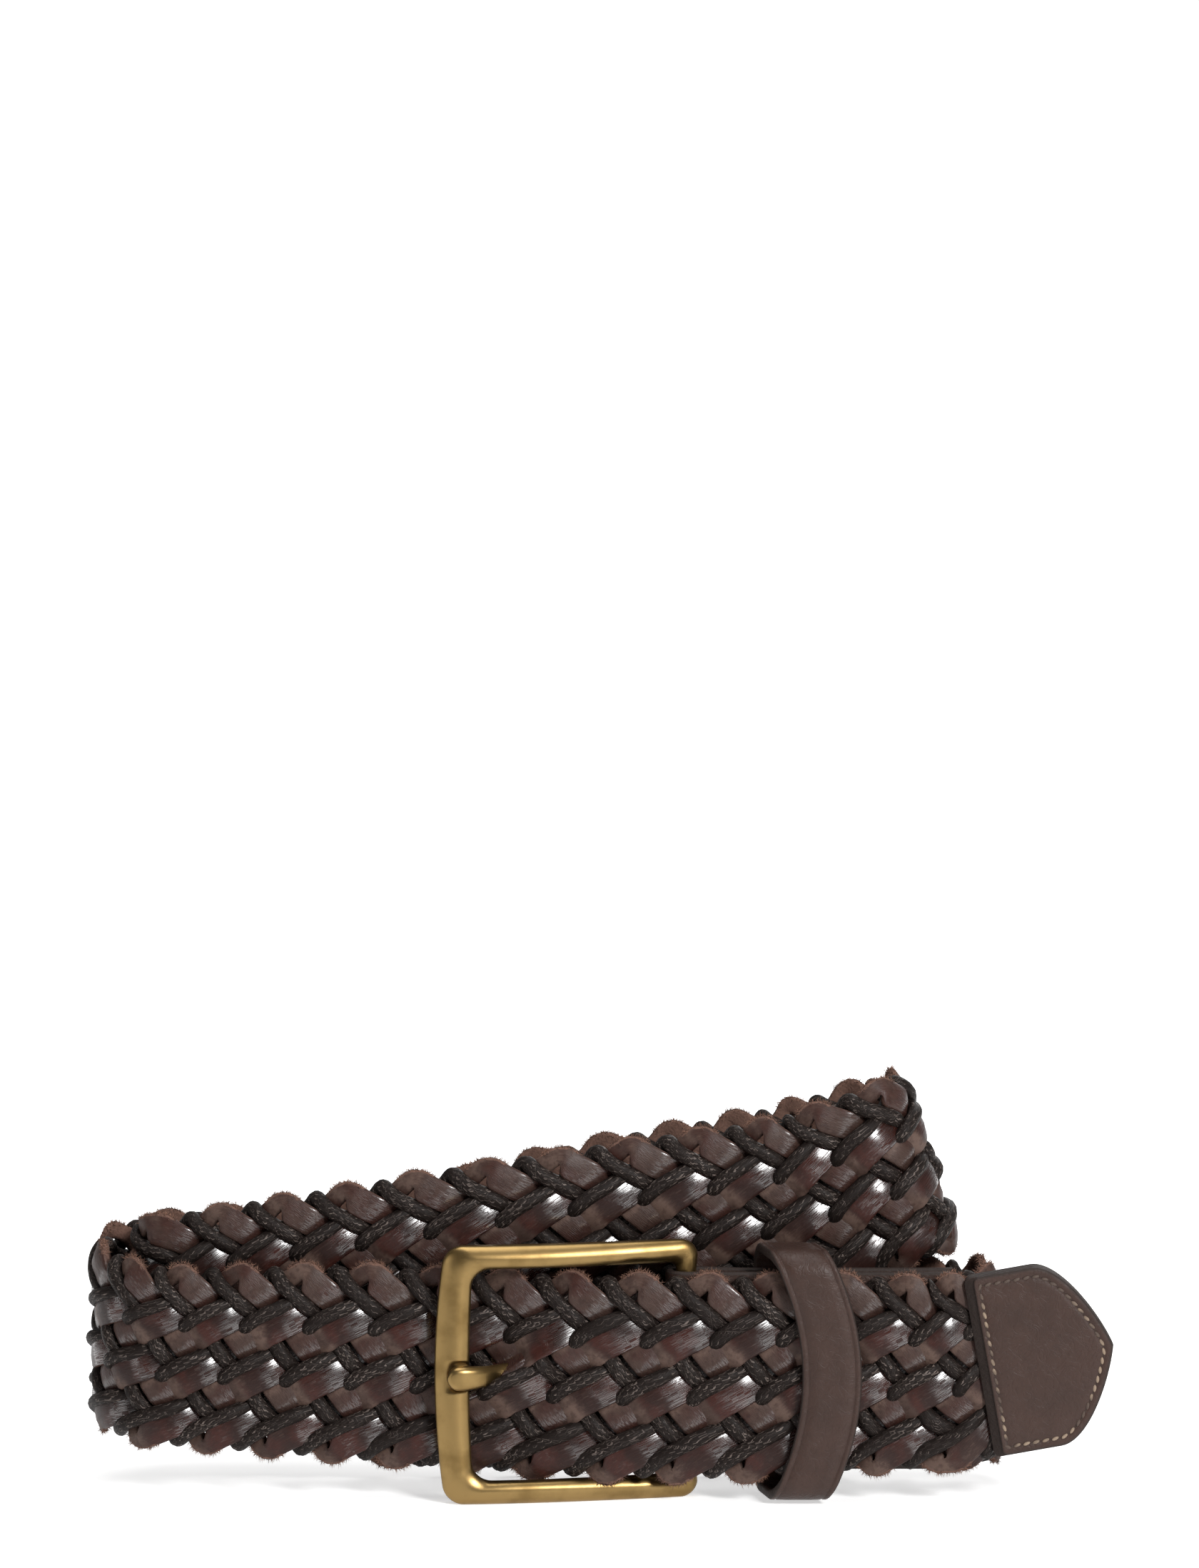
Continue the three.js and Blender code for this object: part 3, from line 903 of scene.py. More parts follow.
@dataclass(frozen=True)
class StrandShape:
    """One kind of strand: its section in millimetres and how it lies in the braid.

    Squareness is the power that shapes its section, 1 for a round one. Crown is how far its top face
    bulges and swing how far it comes out of the strap's middle. Phase is how many rows after a whole
    row it comes to the top. Where it turns at the strap's edges, bank is the angle by which it leans
    back, pinch how much its inner half narrows and edge_round how round its turn is. Bow is how far a
    rising strand arches where it lies on top, in repeats. Around and per_row are its mesh's steps.
    """

    width: float
    thickness: float
    squareness: float
    crown: float
    swing: float
    phase: float
    bank: float
    pinch: float
    bow: float
    edge_round: float
    around: int
    per_row: int


STRAND_SHAPES = {
    Strand.STRIP: StrandShape(
        width=5.0,
        thickness=1.2,
        squareness=0.3,
        crown=0.26,
        swing=1.05,
        phase=-0.25,
        bank=0.22,
        pinch=0.8,
        bow=0.06,
        edge_round=0.009,
        around=16,
        per_row=10,
    ),
    Strand.CORD: StrandShape(
        width=2.65,
        thickness=2.6,
        squareness=1.0,
        crown=0.0,
        swing=1.45,
        phase=0.22,
        bank=0.0,
        pinch=0.0,
        bow=0.12,
        edge_round=0.006,
        around=12,
        per_row=10,
    ),
}


@dataclass(frozen=True)
class BraidRule:
    """How a strand travels: seven rows up, then seven rows down, over and under in turn.

    Skew is how far the zigzag leans, in repeats, and lift how much less steep a rising strand lies on
    top than below. Head and foot are the extra way that a strand takes along the upper and the lower
    edge, each with how many rows that is felt over. Bias brings the rising strands to the front.
    """

    pairs: int = 7
    pitch: float = 10.8
    width: float = 33.8
    skew: float = 0.6
    skew_round: float = 0.03
    lift: float = 0.1
    head: Point = (-0.24, 0.85)
    foot: Point = (-0.2, 0.85)
    bias: float = 0.34

    @property
    def period(self) -> float:
        """Rows in one whole zigzag."""
        return 2.0 * self.pairs

    def wave(self, row: Value, rounding: float) -> Value:
        """A triangle wave from -1 at row 0 to 1 at row 7, its peaks rounded."""
        angle = row * (math.pi / self.pairs) - math.pi / 2
        return arcsine(sine(angle) * (1 - rounding)) * (2 / math.pi)

    def side(self, row: Value) -> Value:
        """1 where a strand rises and -1 where it falls, with a smooth change at the strap's edges."""
        side = sine(row * (math.pi / self.pairs))
        return side * (1.6 - side * side * 0.6)

    def weave(self, row: Value, shape: StrandShape) -> Tuple[Value, Value]:
        """How a strand goes over and under.

        Args:
            row: the place along the strand.
            shape: the kind of strand.

        Returns:
            How far on top it lies, from -1 to 1, and that summed along the rows.
        """
        y = row % float(self.pairs) - shape.phase
        late = y > self.pairs - 1.0
        near = abs(y - self.pairs / 2) > self.pairs / 2 - 1
        turn = (y - late * self.pairs) * (math.pi / 2)
        top = cosine(y * math.pi) * (near - 1.0) + sine(turn) * near
        total = (sine(y * math.pi) * (1.0 - near) + cosine(turn) * near * 2.0) * (-1 / math.pi)
        return top, total

    def advance(self, row: Value, shape: StrandShape) -> Value:
        """How far a strand has come along the strap.

        Args:
            row: the place along the strand.
            shape: the kind of strand.

        Returns:
            The way in repeats.
        """
        ease = self.side(row) * (self.lift / 2) + self.lift / 2
        top, total = self.weave(row, shape)
        sway = total * ease - top * (self.side(row) + 1) * (shape.bow / 2)
        along = row * 0.5 + self.wave(row, self.skew_round) * self.skew + sway
        for (extra, reach), edge in ((self.head, self.pairs), (self.foot, 0)):
            past = (row + (self.pairs - edge)) % self.period - self.pairs
            along = along + past * exponential(past * past * (-1 / reach**2)) * extra
        return along

    def height(self, row: Value, shape: StrandShape) -> Value:
        """A strand's height across the strap at a row, in millimetres from its middle."""
        return self.wave(row, shape.edge_round) * (self.width / 2)

    def depth(self, row: Value, shape: StrandShape) -> Value:
        """How far a strand stands out of the strap's middle at a row, in millimetres."""
        top = self.weave(row, shape)[0]
        return top * (3.0 - top * top) * (shape.swing / 2) + self.side(row) * self.bias

    def length(self, row: Value) -> Value:
        """The length of a strand up to a row, in millimetres."""
        climb = self.width / self.pairs
        lean = 2 * self.skew / self.pairs
        up, down = (math.hypot(self.pitch * (0.5 + way), climb) for way in (lean, -lean))
        return row * ((up + down) / 2) + self.wave(row, 0.0) * ((up - down) * self.pairs / 4)

    def row_at(self, advance: float, shape: StrandShape) -> float:
        """The row at which a strand has come a given way along, found by halving."""
        low, high = -4 * self.period, advance * 2 + 4 * self.period
        for _ in range(60):
            middle = (low + high) / 2
            low, high = (middle, high) if self.advance(middle, shape) < advance else (low, middle)
        return (low + high) / 2


@dataclass(frozen=True)
class ProngGap:
    """Where the strands part round the prong: pushed back on the gap's left, forward on its right.

    Along is its place as a share of the way from the pivot bar to the prong's tip. Its line leans as
    the rising strips do: by slope millimetres along for each one up.
    """

    along: float = 0.8
    back: float = 1.4
    forward: float = 4.0
    reach: float = 1.3
    slope: float = 1.33
    span: float = 7.5
    height: float = 5.0


@dataclass
class Braid:
    """The strap's braid, each strand a Geometry Nodes mesh along the guide.

    Nudge is the share of a row over which a strand's way is read. Turning is the share of the strap's
    half width between which a strand starts to turn and has turned. Narrowing and widening are the
    rows between which its inner half narrows before a turn and is whole again after it.
    """

    guide: Guide
    rule: BraidRule
    gap: ProngGap
    gap_phase: float
    nudge: float = 0.04
    turning: Point = (0.72, 0.92)
    narrowing: Point = (5.8, 6.6)
    widening: Point = (0.0, 0.5)
    end_room: float = 0.02

    def point(self, graph: Graph, row: Sock, shape: StrandShape) -> Sock:
        """A strand's middle at a row, as along, up and out in millimetres."""
        rule = self.rule
        along = rule.advance(row, shape) * rule.pitch
        return graph.vector(along, rule.height(row, shape), rule.depth(row, shape))

    def surface(self, graph: Graph, row: Sock, column: Sock, shape: StrandShape) -> Tuple[Sock, ...]:
        """A point of a strand's surface.

        Args:
            graph: the tree's graph.
            row: the place along the strand.
            column: the place round it.
            shape: the kind of strand.

        Returns:
            The point as along, up and out in millimetres, its places across the strand and up its
            section, each from -1 to 1, and the edge of the strap that the strand turns at.
        """
        middle = self.point(graph, row, shape)
        way = self.point(graph, row + self.nudge, shape) - self.point(graph, row - self.nudge, shape)
        forward = graph.math("NORMALIZE", way)
        out = graph.vector(0.0, 0.0, 1.0)
        side = graph.math("NORMALIZE", graph.math("CROSS_PRODUCT", out, forward))
        top = graph.math("CROSS_PRODUCT", forward, side)
        rise = self.rule.wave(row, 0.0)
        edge = graph.math("SIGN", rise)
        turn = edge * graph.step(abs(rise), *self.turning)
        lean = turn * shape.bank
        side, top = side * cosine(lean) - top * sine(lean), side * sine(lean) + top * cosine(lean)
        angle = (column % float(shape.around)) * (2 * math.pi / shape.around)
        across = self.powered(cosine(angle), shape.squareness)
        up = self.powered(sine(angle), shape.squareness)
        crown = (1 - across * across) * (up > 0.0) * shape.crown
        since_turn = row % float(self.rule.pairs)
        pinched = graph.step(since_turn, *self.narrowing) + 1 - graph.step(since_turn, *self.widening)
        inner = graph.math("MAXIMUM", across * edge * pinched * -1, 0.0)
        wide = across * (1 - inner * shape.pinch) * (shape.width / 2)
        spot = middle + side * wide + top * (up * (shape.thickness / 2) + crown)
        return spot, across, up, turn

    def tree(self, kind: Strand, material: Material) -> NodeTree:
        """Builds the tree that lays one strand.

        Args:
            kind: strip or cord.
            material: the strand's finish.

        Returns:
            A tree with inputs First Row, Rows Long, Offset and Stations.
        """
        shape = STRAND_SHAPES[kind]
        rule = self.rule
        tree = bpy.data.node_groups.new(kind.value, "GeometryNodeTree")
        face = tree.interface
        face.new_socket("Guide", in_out="INPUT", socket_type="NodeSocketGeometry")
        for name in ("First Row", "Rows Long", "Offset"):
            face.new_socket(name, in_out="INPUT", socket_type="NodeSocketFloat")
        face.new_socket("Stations", in_out="INPUT", socket_type="NodeSocketInt")
        face.new_socket("Strand", in_out="OUTPUT", socket_type="NodeSocketGeometry")
        graph = Graph(tree)
        inputs = tree.nodes.new("NodeGroupInput")
        guide, first, rows, offset, stations = (Sock(graph, inputs.outputs[k]) for k in range(5))
        columns = shape.around + 1
        grid = graph.node("GeometryNodeMeshGrid", None, {"Vertices X": stations, "Vertices Y": columns})
        index = graph.node("GeometryNodeInputIndex")
        column = index % float(columns)
        station = (index - column) / float(columns)
        row = first + rows * station / (stations - 1.0)
        spot, across, up, turn = self.surface(graph, row, column, shape)
        along, height, depth = graph.parts(spot)
        phase = along / rule.pitch + offset
        depth = depth + self.parting(graph, phase, height)
        position = self.on_strap(graph, guide, phase, height, depth)
        mesh = graph.node("GeometryNodeSetPosition", None, {"Geometry": grid, "Position": position})
        chart = graph.vector(rule.length(row), column * (1 / shape.around), 0.0)
        mesh = self.store(graph, mesh, "UVMap", chart, "FLOAT2", "CORNER")
        reach = self.nudge * 3
        dive = rule.depth(row + reach, shape) - rule.depth(row - reach, shape)
        kept = {"across": across, "face": up, "dive": dive, "turn": turn, "rising": rule.side(row)}
        for name, value in kept.items():
            mesh = self.store(graph, mesh, name, value, "FLOAT", "POINT")
        mesh = graph.node("GeometryNodeMergeByDistance", None, {0: mesh, "Distance": 1e-6})
        mesh = graph.node("GeometryNodeRealizeInstances", None, {0: mesh})
        mesh = graph.node("GeometryNodeSetMaterial", None, {0: mesh, "Material": material})
        outputs = tree.nodes.new("NodeGroupOutput")
        tree.links.new(mesh.socket, outputs.inputs[0])
        return tree

    @staticmethod
    def powered(value: Sock, power: float) -> Sock:
        """A signed power, which squares a round section's sides."""
        if power == 1.0:
            return value
        graph = value.graph
        return graph.math("SIGN", value) * (abs(value) ** power)

    def parting(self, graph: Graph, phase: Sock, height: Sock) -> Sock:
        """How far a point moves out of the prong's way.

        Args:
            graph: the tree's graph.
            phase: place along, in repeats.
            height: place up, in millimetres.

        Returns:
            The way out, in millimetres.
        """
        gap = self.gap
        ahead = (phase - self.gap_phase) * self.rule.pitch - height * gap.slope
        near = exponential((ahead / gap.span) ** 4.0 * -1)
        low = exponential((height / gap.height) ** 2.0 * -1)
        turn = graph.step(ahead, -gap.reach, gap.reach) * (gap.forward + gap.back) - gap.back
        return turn * near * low

    @staticmethod
    def on_strap(graph: Graph, guide: Sock, phase: Sock, height: Sock, depth: Sock) -> Sock:
        """The place of a point of the braid on the strap's guide.

        Args:
            graph: the tree's graph.
            guide: the guide's geometry.
            phase: place along, in repeats.
            height: place up, in millimetres.
            depth: place out, in millimetres.

        Returns:
            The position in metres.
        """
        spot = phase * float(Guide.per_repeat)
        whole = graph.math("FLOOR", spot)
        share = spot - whole

        def sample(kind: str, value: Sock, index: Sock) -> Sock:
            """Reads one value of the guide at one of its points."""
            settings = {"data_type": kind, "clamp": True}
            return graph.node("GeometryNodeSampleIndex", settings, {0: guide, 1: value, 2: index})

        def read(kind: str, value: Sock) -> Sock:
            """Reads one value of the guide between two of its points."""
            return graph.blend(share, sample(kind, value, whole), sample(kind, value, whole + 1.0))

        def named(kind: str, name: str) -> Sock:
            """A named attribute of the guide."""
            return graph.node("GeometryNodeInputNamedAttribute", {"data_type": kind}, {"Name": name})

        place = read("FLOAT_VECTOR", graph.node("GeometryNodeInputPosition"))
        out = read("FLOAT_VECTOR", named("FLOAT_VECTOR", "out"))
        up = read("FLOAT_VECTOR", named("FLOAT_VECTOR", "up"))
        loft = read("FLOAT", named("FLOAT", "loft"))
        return place + up * (height * MM) + out * (depth * loft * MM)

    @staticmethod
    def store(graph: Graph, mesh: Sock, name: str, value: Sock, kind: str, domain: str) -> Sock:
        """Keeps a value on the mesh under a name."""
        settings = {"data_type": kind, "domain": domain}
        inputs = {0: mesh, "Name": name, "Value": value}
        return graph.node("GeometryNodeStoreNamedAttribute", settings, inputs)

    def lay(self, guide_object: Object, kind: Strand, tree: NodeTree, number: int) -> Object:
        """Lays one strand along the whole strap.

        Args:
            guide_object: the guide line.
            kind: strip or cord.
            tree: the strand's tree.
            number: which of the seven pairs it belongs to.

        Returns:
            The strand.
        """
        shape = STRAND_SHAPES[kind]
        half_step = -0.5 if kind is Strand.CORD else 0.0
        offset = number + half_step - self.rule.pairs
        first = self.rule.row_at(self.end_room - offset, shape)
        last = self.rule.row_at(self.guide.repeats - self.end_room - offset, shape)
        stations = math.ceil((last - first) * shape.per_row) + 1
        name = f"{kind.value}_{number + 1}"
        host = add_object(name, guide_object.data)
        values = {"First Row": first, "Rows Long": last - first, "Offset": offset, "Stations": stations}
        run_nodes(host, tree, values)
        self.close(host)
        return finish_piece(host, "braid", "braided_strap")

    @staticmethod
    def close(piece: Object) -> None:
        """Caps a strand's two ends and points its faces out."""
        build = bmesh.new()
        build.from_mesh(piece.data)
        rim = [edge for edge in build.edges if edge.is_boundary]
        bmesh.ops.holes_fill(build, edges=rim, sides=0)
        if build.calc_volume(signed=True) < 0:
            bmesh.ops.reverse_faces(build, faces=build.faces[:])
        build.to_mesh(piece.data)
        build.free()
        piece.data.shade_smooth()


# Finishes


def new_material(name: str) -> Tuple[Material, Graph, Node]:
    """An empty node material.

    Args:
        name: its name.

    Returns:
        The material, its graph and its shader node.
    """
    material = bpy.data.materials.new(name)
    material.use_nodes = True
    shader = material.node_tree.nodes["Principled BSDF"]
    return material, Graph(material.node_tree), shader


@dataclass(frozen=True)
class StripLeather:
    """Leather strips: matt where they come up, where their colour also holds a painted grey sheen; painted
    dark shade with red patches on top; crinkled and shiny where they dive.

    Patch, pore and fuzz are the noises' scales per metre, and streak and wrinkle are per millimetre.
    """

    # The first tone is a painted grey sheen, the lighter look of a strip where it comes up, also used for
    # random streaks; the dark tone is painted shade on a strip's top and diving end, and also the tone of
    # random patches and pores.
    painted_sheen_and_streak_tone: Colour = (0.086, 0.0535, 0.042)
    dark: Colour = (0.016, 0.0060, 0.0046)
    red: Colour = (0.036, 0.0095, 0.0066)
    flesh: Colour = (0.175, 0.098, 0.074)
    patch: float = 150.0
    pore: float = 1100.0
    fuzz: float = 2600.0
    streak: float = 2.6
    wrinkle: float = 3.2

    def build(self) -> Material:
        """Makes the material.

        Returns:
            The finish, as a node material.
        """
        material, graph, shader = new_material("strip_leather")
        place = graph.place()
        names = ("face", "across", "dive", "turn", "rising")
        face, across, dive, turn, rising = (graph.attribute(name) for name in names)
        half_width = STRAND_SHAPES[Strand.STRIP].width / 2
        chart = graph.vector(graph.parts(graph.uv())[0], across * half_width, 0.0)
        patch = graph.noise(place, self.patch, 3.0)
        streak = graph.noise(chart, self.streak, 5.0)
        pore = graph.noise(place, self.pore, 5.0)
        fuzz = graph.noise(place, self.fuzz, 4.0)
        crease = graph.cells("DISTANCE_TO_EDGE", chart + streak * 0.4, self.wrinkle)
        going = dive * -1 + (patch - 0.5) * 0.9 + (streak - 0.5) * 0.5
        main = graph.step(rising, -0.5, 0.4) * 0.35 + 0.65
        # The zone of painted shade, from a strip's top to where it dives, which is also glossier.
        painted_shade_zone = graph.step(going, -0.6, -0.1) * main
        shine = graph.step(going, 0.0, 0.35) * main
        # Painted sheen where a strip comes up and painted shade where it tops and dives, mixed by its
        # slope; red patches tint the painted shade.
        base = graph.tint(painted_shade_zone, self.painted_sheen_and_streak_tone, self.dark)
        base = graph.tint(graph.step(patch, 0.42, 0.62) * painted_shade_zone * 0.85, base, self.red)
        base = graph.tint(graph.step(patch, 0.46, 0.64) * (1 - painted_shade_zone) * 0.6, base, self.dark)
        base = graph.tint(graph.step(streak, 0.5, 0.75) * 0.25, base, self.painted_sheen_and_streak_tone)
        base = graph.tint(graph.step(pore, 0.45, 0.7) * 0.45, base, self.dark)
        cut = graph.step(abs(across), 0.965, 0.99) * 0.5
        back = graph.step(face * -1, 0.2, 0.7)
        band = graph.step(across * turn + (streak - 0.5) * 0.5, 0.78, 0.92)
        raw = graph.math("MAXIMUM", graph.math("MAXIMUM", cut, back), band)
        rough_tone = graph.tint(fuzz, self.flesh, tuple(part * 0.4 for part in self.flesh))
        graph.feed(shader.inputs["Base Color"], graph.tint(raw, base, rough_tone))
        gloss = 0.58 - painted_shade_zone * 0.2 - shine * 0.14 + (streak - 0.5) * 0.16
        graph.feed(shader.inputs["Roughness"], graph.blend(raw, gloss, 0.95))
        graph.feed(shader.inputs["Coat Weight"], (1 - raw) * shine * graph.step(crease, 0.02, 0.14))
        shader.inputs["Coat Roughness"].default_value = 0.25
        shader.inputs["Coat IOR"].default_value = 1.8
        shader.inputs["Specular IOR Level"].default_value = 0.2
        grain = graph.step(crease, 0.0, 0.24) * (0.2 + shine * 0.8) + streak * 0.25 + pore * 0.4
        height = graph.blend(raw, grain, fuzz * 2.0)
        graph.feed(shader.inputs["Normal"], graph.bump(height, 0.8, 0.09 * MM))
        return material


@dataclass(frozen=True)
class ElasticSheath:
    """Round elastic cord in a woven sheath: pairs of ribs with slanted grey stitches.

    Stitch is a stitch's length in millimetres, slant its slope and twist how many ribs the sheath
    turns by in a millimetre.
    """

    dark: Colour = (0.0080, 0.0053, 0.0044)
    light: Colour = (0.105, 0.084, 0.074)
    stitch: float = 0.3
    slant: float = 0.9
    twist: float = 0.012
    ribs: int = 10
    ribs_apart: int = 5

    def build(self) -> Material:
        """Makes the material.

        Returns:
            The finish, as a node material.
        """
        material, graph, shader = new_material("elastic_sheath")
        uv = graph.uv()
        u, v, _ = graph.parts(uv)
        rib = v * float(self.ribs) + u * self.twist
        cell = graph.math("FLOOR", rib)
        inside = rib - cell
        turn = cell % float(self.ribs_apart)
        sign = (cell % 2.0) * 2 - 1
        wave = sine((u / self.stitch + inside * sign * self.slant) * (2 * math.pi))
        thread = graph.step(wave, -0.2, 0.7) * graph.step(sine(inside * math.pi), 0.15, 0.7)
        wear = graph.noise(uv, 0.7, 3.0)
        pale = (turn > 0.5) * (1 - (turn > 2.5)) * graph.step(wear, 0.3, 0.62)
        tone = graph.tint(thread * (pale * 0.9 + 0.1), self.dark, self.light)
        graph.feed(shader.inputs["Base Color"], tone)
        graph.feed(shader.inputs["Roughness"], 0.56 - thread * 0.12)
        shader.inputs["Specular IOR Level"].default_value = 0.1
        graph.feed(shader.inputs["Normal"], graph.bump(thread, 0.35, 0.05 * MM))
        return material


@dataclass(frozen=True)
class FinishedLeather:
    """Smooth dyed leather with a fine pebble, darker and rougher at its cut edges."""

    base: Colour = (0.037, 0.019, 0.0141)
    shade: Colour = (0.024, 0.0122, 0.0090)
    edge: Colour = (0.020, 0.0125, 0.0100)
    rough: float = 0.46
    grain: float = 1500.0

    def build(self) -> Material:
        """Makes the material.

        Returns:
            The finish, as a node material.
        """
        material, graph, shader = new_material("finished_leather")
        place = graph.place()
        rim = graph.attribute("rim")
        cloud = graph.noise(place, 210.0, 6.0)
        fine = graph.noise(place, self.grain, 5.0)
        wrinkle = abs(graph.noise(place, 380.0, 6.0, 1.6) - 0.5)
        pebble = graph.cells("F1", place + cloud * 0.002, self.grain)
        tone = graph.tint(graph.step(cloud, 0.3, 0.75) * 0.6, self.base, self.shade)
        tone = graph.tint(graph.step(fine, 0.45, 0.75) * 0.35, tone, self.shade)
        graph.feed(shader.inputs["Base Color"], graph.tint(graph.step(rim, 0.3, 0.9), tone, self.edge))
        graph.feed(shader.inputs["Roughness"], self.rough + (fine - 0.5) * 0.3 + rim * 0.2)
        shader.inputs["Specular IOR Level"].default_value = 0.25
        height = pebble * 0.6 + fine * (0.5 + rim) + graph.step(wrinkle, 0.0, 0.07) * 0.7
        graph.feed(shader.inputs["Normal"], graph.bump(height, 0.45, 0.09 * MM))
        return material


@dataclass(frozen=True)
class AgedBrass:
    """Satin brass, a little darker in clouds and finely brushed."""

    bright: Colour = (0.26, 0.172, 0.068)
    dull: Colour = (0.18, 0.115, 0.042)

    def build(self) -> Material:
        """Makes the material.

        Returns:
            The finish, as a node material.
        """
        material, graph, shader = new_material("aged_brass")
        place = graph.place()
        cloud = graph.noise(place, 190.0, 5.0)
        fine = graph.noise(place, 2400.0, 4.0)
        tone = graph.tint(graph.step(cloud, 0.42, 0.72), self.bright, self.dull)
        graph.feed(shader.inputs["Base Color"], tone)
        shader.inputs["Metallic"].default_value = 1.0
        graph.feed(shader.inputs["Roughness"], 0.26 + cloud * 0.14 + fine * 0.06)
        graph.feed(shader.inputs["Normal"], graph.bump(fine, 0.2, 0.03 * MM))
        return material


@dataclass(frozen=True)
class Thread:
    """Waxed sewing thread, pale low down and dark along the tab's upper edge.

    Darkens holds the two heights, in metres, between which it turns dark.
    """

    base: Colour = (0.20, 0.145, 0.10)
    dark: Colour = (0.050, 0.031, 0.022)
    darkens: Point = (0.033, 0.037)

    def build(self) -> Material:
        """Makes the material.

        Returns:
            The finish, as a node material.
        """
        material, graph, shader = new_material("thread")
        place = graph.place()
        spot = graph.noise(place, 260.0, 2.0)
        high = graph.step(graph.parts(place)[2], *self.darkens)
        share = graph.math("MAXIMUM", graph.step(spot, 0.42, 0.62), high)
        graph.feed(shader.inputs["Base Color"], graph.tint(share, self.base, self.dark))
        graph.feed(shader.inputs["Roughness"], 0.6 + spot * 0.2)
        return material


@dataclass(frozen=True)
class FleshFibre:
    """Loose fibres of the leather's flesh side."""

    base: Colour = (0.21, 0.105, 0.068)
    dark: Colour = (0.085, 0.042, 0.029)

    def build(self) -> Material:
        """Makes the material.

        Returns:
            The finish, as a node material.
        """
        material, graph, shader = new_material("flesh_fibre")
        tuft = graph.noise(graph.place(), 700.0, 3.0)
        tone = graph.tint(graph.step(tuft, 0.4, 0.65), self.base, self.dark)
        graph.feed(shader.inputs["Base Color"], tone)
        graph.feed(shader.inputs["Roughness"], 0.75 + tuft * 0.2)
        return material


# Hard pieces


@dataclass(frozen=True)
class BarStation:
    """A place on the buckle's frame: its outer and inner edge points, depth and roundness."""

    outer: Point
    inner: Point
    depth: float
    roundness: float


@dataclass
class Buckle:
    """The cast frame with its pivot bar, and the prong.

    Cast_power squares the bars' section, ridge is where its front is highest and facet how much it
    falls off from there. The notch for the prong is 2 notch_half wide, and notch_depth is its depth
    as a share of the prong's thickness.
    """

    sizes: Sizes
    metal: Material
    cast_power: float = 0.56
    ridge: float = -0.12
    facet: float = 0.42
    notch_half: float = 2.9
    notch_depth: float = 0.62
    around: int = 40
    side_steps: int = 30
    left_steps: int = 110
    corner_steps: int = 12
    prong_steps: int = 96
    eye_steps: int = 48

    def arch(self, x: float) -> float:
        """Depth of the frame's bars at one X."""
        s = self.sizes
        share = min(max((x - s.bar_inner) / -s.bar_inner, 0.0), 1.0)
        return s.bar_depth / 2 + (s.pivot_setback - s.bar_depth / 2) * share**s.arch

    def path(self) -> List[BarStation]:
        """The frame's way round.

        Returns:
            Its stations, anticlockwise from the left end of the lower bar.
        """
        s = self.sizes
        rod = s.pivot_diameter / 2
        out = {"left": s.frame_left, "right": s.end_past, "low": 0.0, "high": s.frame_height}
        within = {
            "left": s.frame_left + s.left_bar,
            "right": -rod,
            "low": s.bar,
            "high": s.frame_height - s.bar,
        }
        flat = (s.bar_depth, 0.0)
        round_bar = (s.pivot_diameter, 1.0)
        made: List[BarStation] = []

        def straight(outer: Sequence[Point], inner: Sequence[Point], size: Point, steps: int) -> None:
            """Adds a bar between two stations."""
            for k in range(steps + 1):
                share = k / steps
                ends = [tuple(lerp(a, b, share) for a, b in zip(*pair)) for pair in (outer, inner)]
                made.append(BarStation(ends[0], ends[1], *size))

        def turn(signs: Point, quarter: int, radii: Point, start: Point, end: Point) -> None:
            """Adds a corner, its outer and inner edges each with its own radius."""
            sides = ("left" if signs[0] < 0 else "right", "low" if signs[1] < 0 else "high")
            for k in range(1, self.corner_steps):
                share = k / self.corner_steps
                angle = (quarter + share) * math.pi / 2
                ends = [
                    (
                        edge[sides[0]] - signs[0] * radius + radius * math.cos(angle),
                        edge[sides[1]] - signs[1] * radius + radius * math.sin(angle),
                    )
                    for edge, radius in zip((out, within), radii)
                ]
                size = [lerp(a, b, smooth(share)) for a, b in zip(start, end)]
                made.append(BarStation(ends[0], ends[1], *size))

        def level_ends(edge: Dict[str, float], height: str, near: float, far: float) -> List[Point]:
            """The two ends of a level edge, between its corners."""
            return [(edge["left"] + near, edge[height]), (edge["right"] - far, edge[height])]

        def side(height: str) -> List[List[Point]]:
            """The outer and inner edges of the lower or upper bar."""
            return [
                level_ends(out, height, s.outer_corner, s.pivot_outer_corner),
                level_ends(within, height, s.inner_corner, s.pivot_inner_corner),
            ]

        def rod_ends(x: float) -> List[Point]:
            """The ends of one side of the pivot bar."""
            reach = s.pivot_outer_corner
            return [(x, within["low"] + reach), (x, within["high"] - reach)]

        def left_ends(edge: Dict[str, float], radius: float) -> List[Point]:
            """The ends of one side of the left bar."""
            return [(edge["left"], edge["high"] - radius), (edge["left"], edge["low"] + radius)]

        pivot_radii = (s.pivot_outer_corner, s.pivot_inner_corner)
        left_radii = (s.outer_corner, s.inner_corner)
        straight(*side("low"), flat, self.side_steps)
        turn((1, -1), 3, pivot_radii, flat, round_bar)
        straight(rod_ends(rod), rod_ends(-rod), round_bar, self.corner_steps)
        turn((1, 1), 0, pivot_radii, round_bar, flat)
        straight(*(ends[::-1] for ends in side("high")), flat, self.side_steps)
        turn((-1, 1), 1, left_radii, flat, flat)
        straight(left_ends(out, s.outer_corner), left_ends(within, s.inner_corner), flat, self.left_steps)
        turn((-1, -1), 2, left_radii, flat, flat)
        return made

    def bowed(self, point: Point, bow: float) -> float:
        """A point's X with the left bar's bow."""
        s = self.sizes
        share = (point[1] - s.level) / s.level
        ease_to = s.frame_left + s.left_bar + s.inner_corner
        left_share = min(max((ease_to - point[0]) / s.inner_corner, 0.0), 1.0)
        return point[0] - bow * max(1 - share * share, 0.0) * left_share

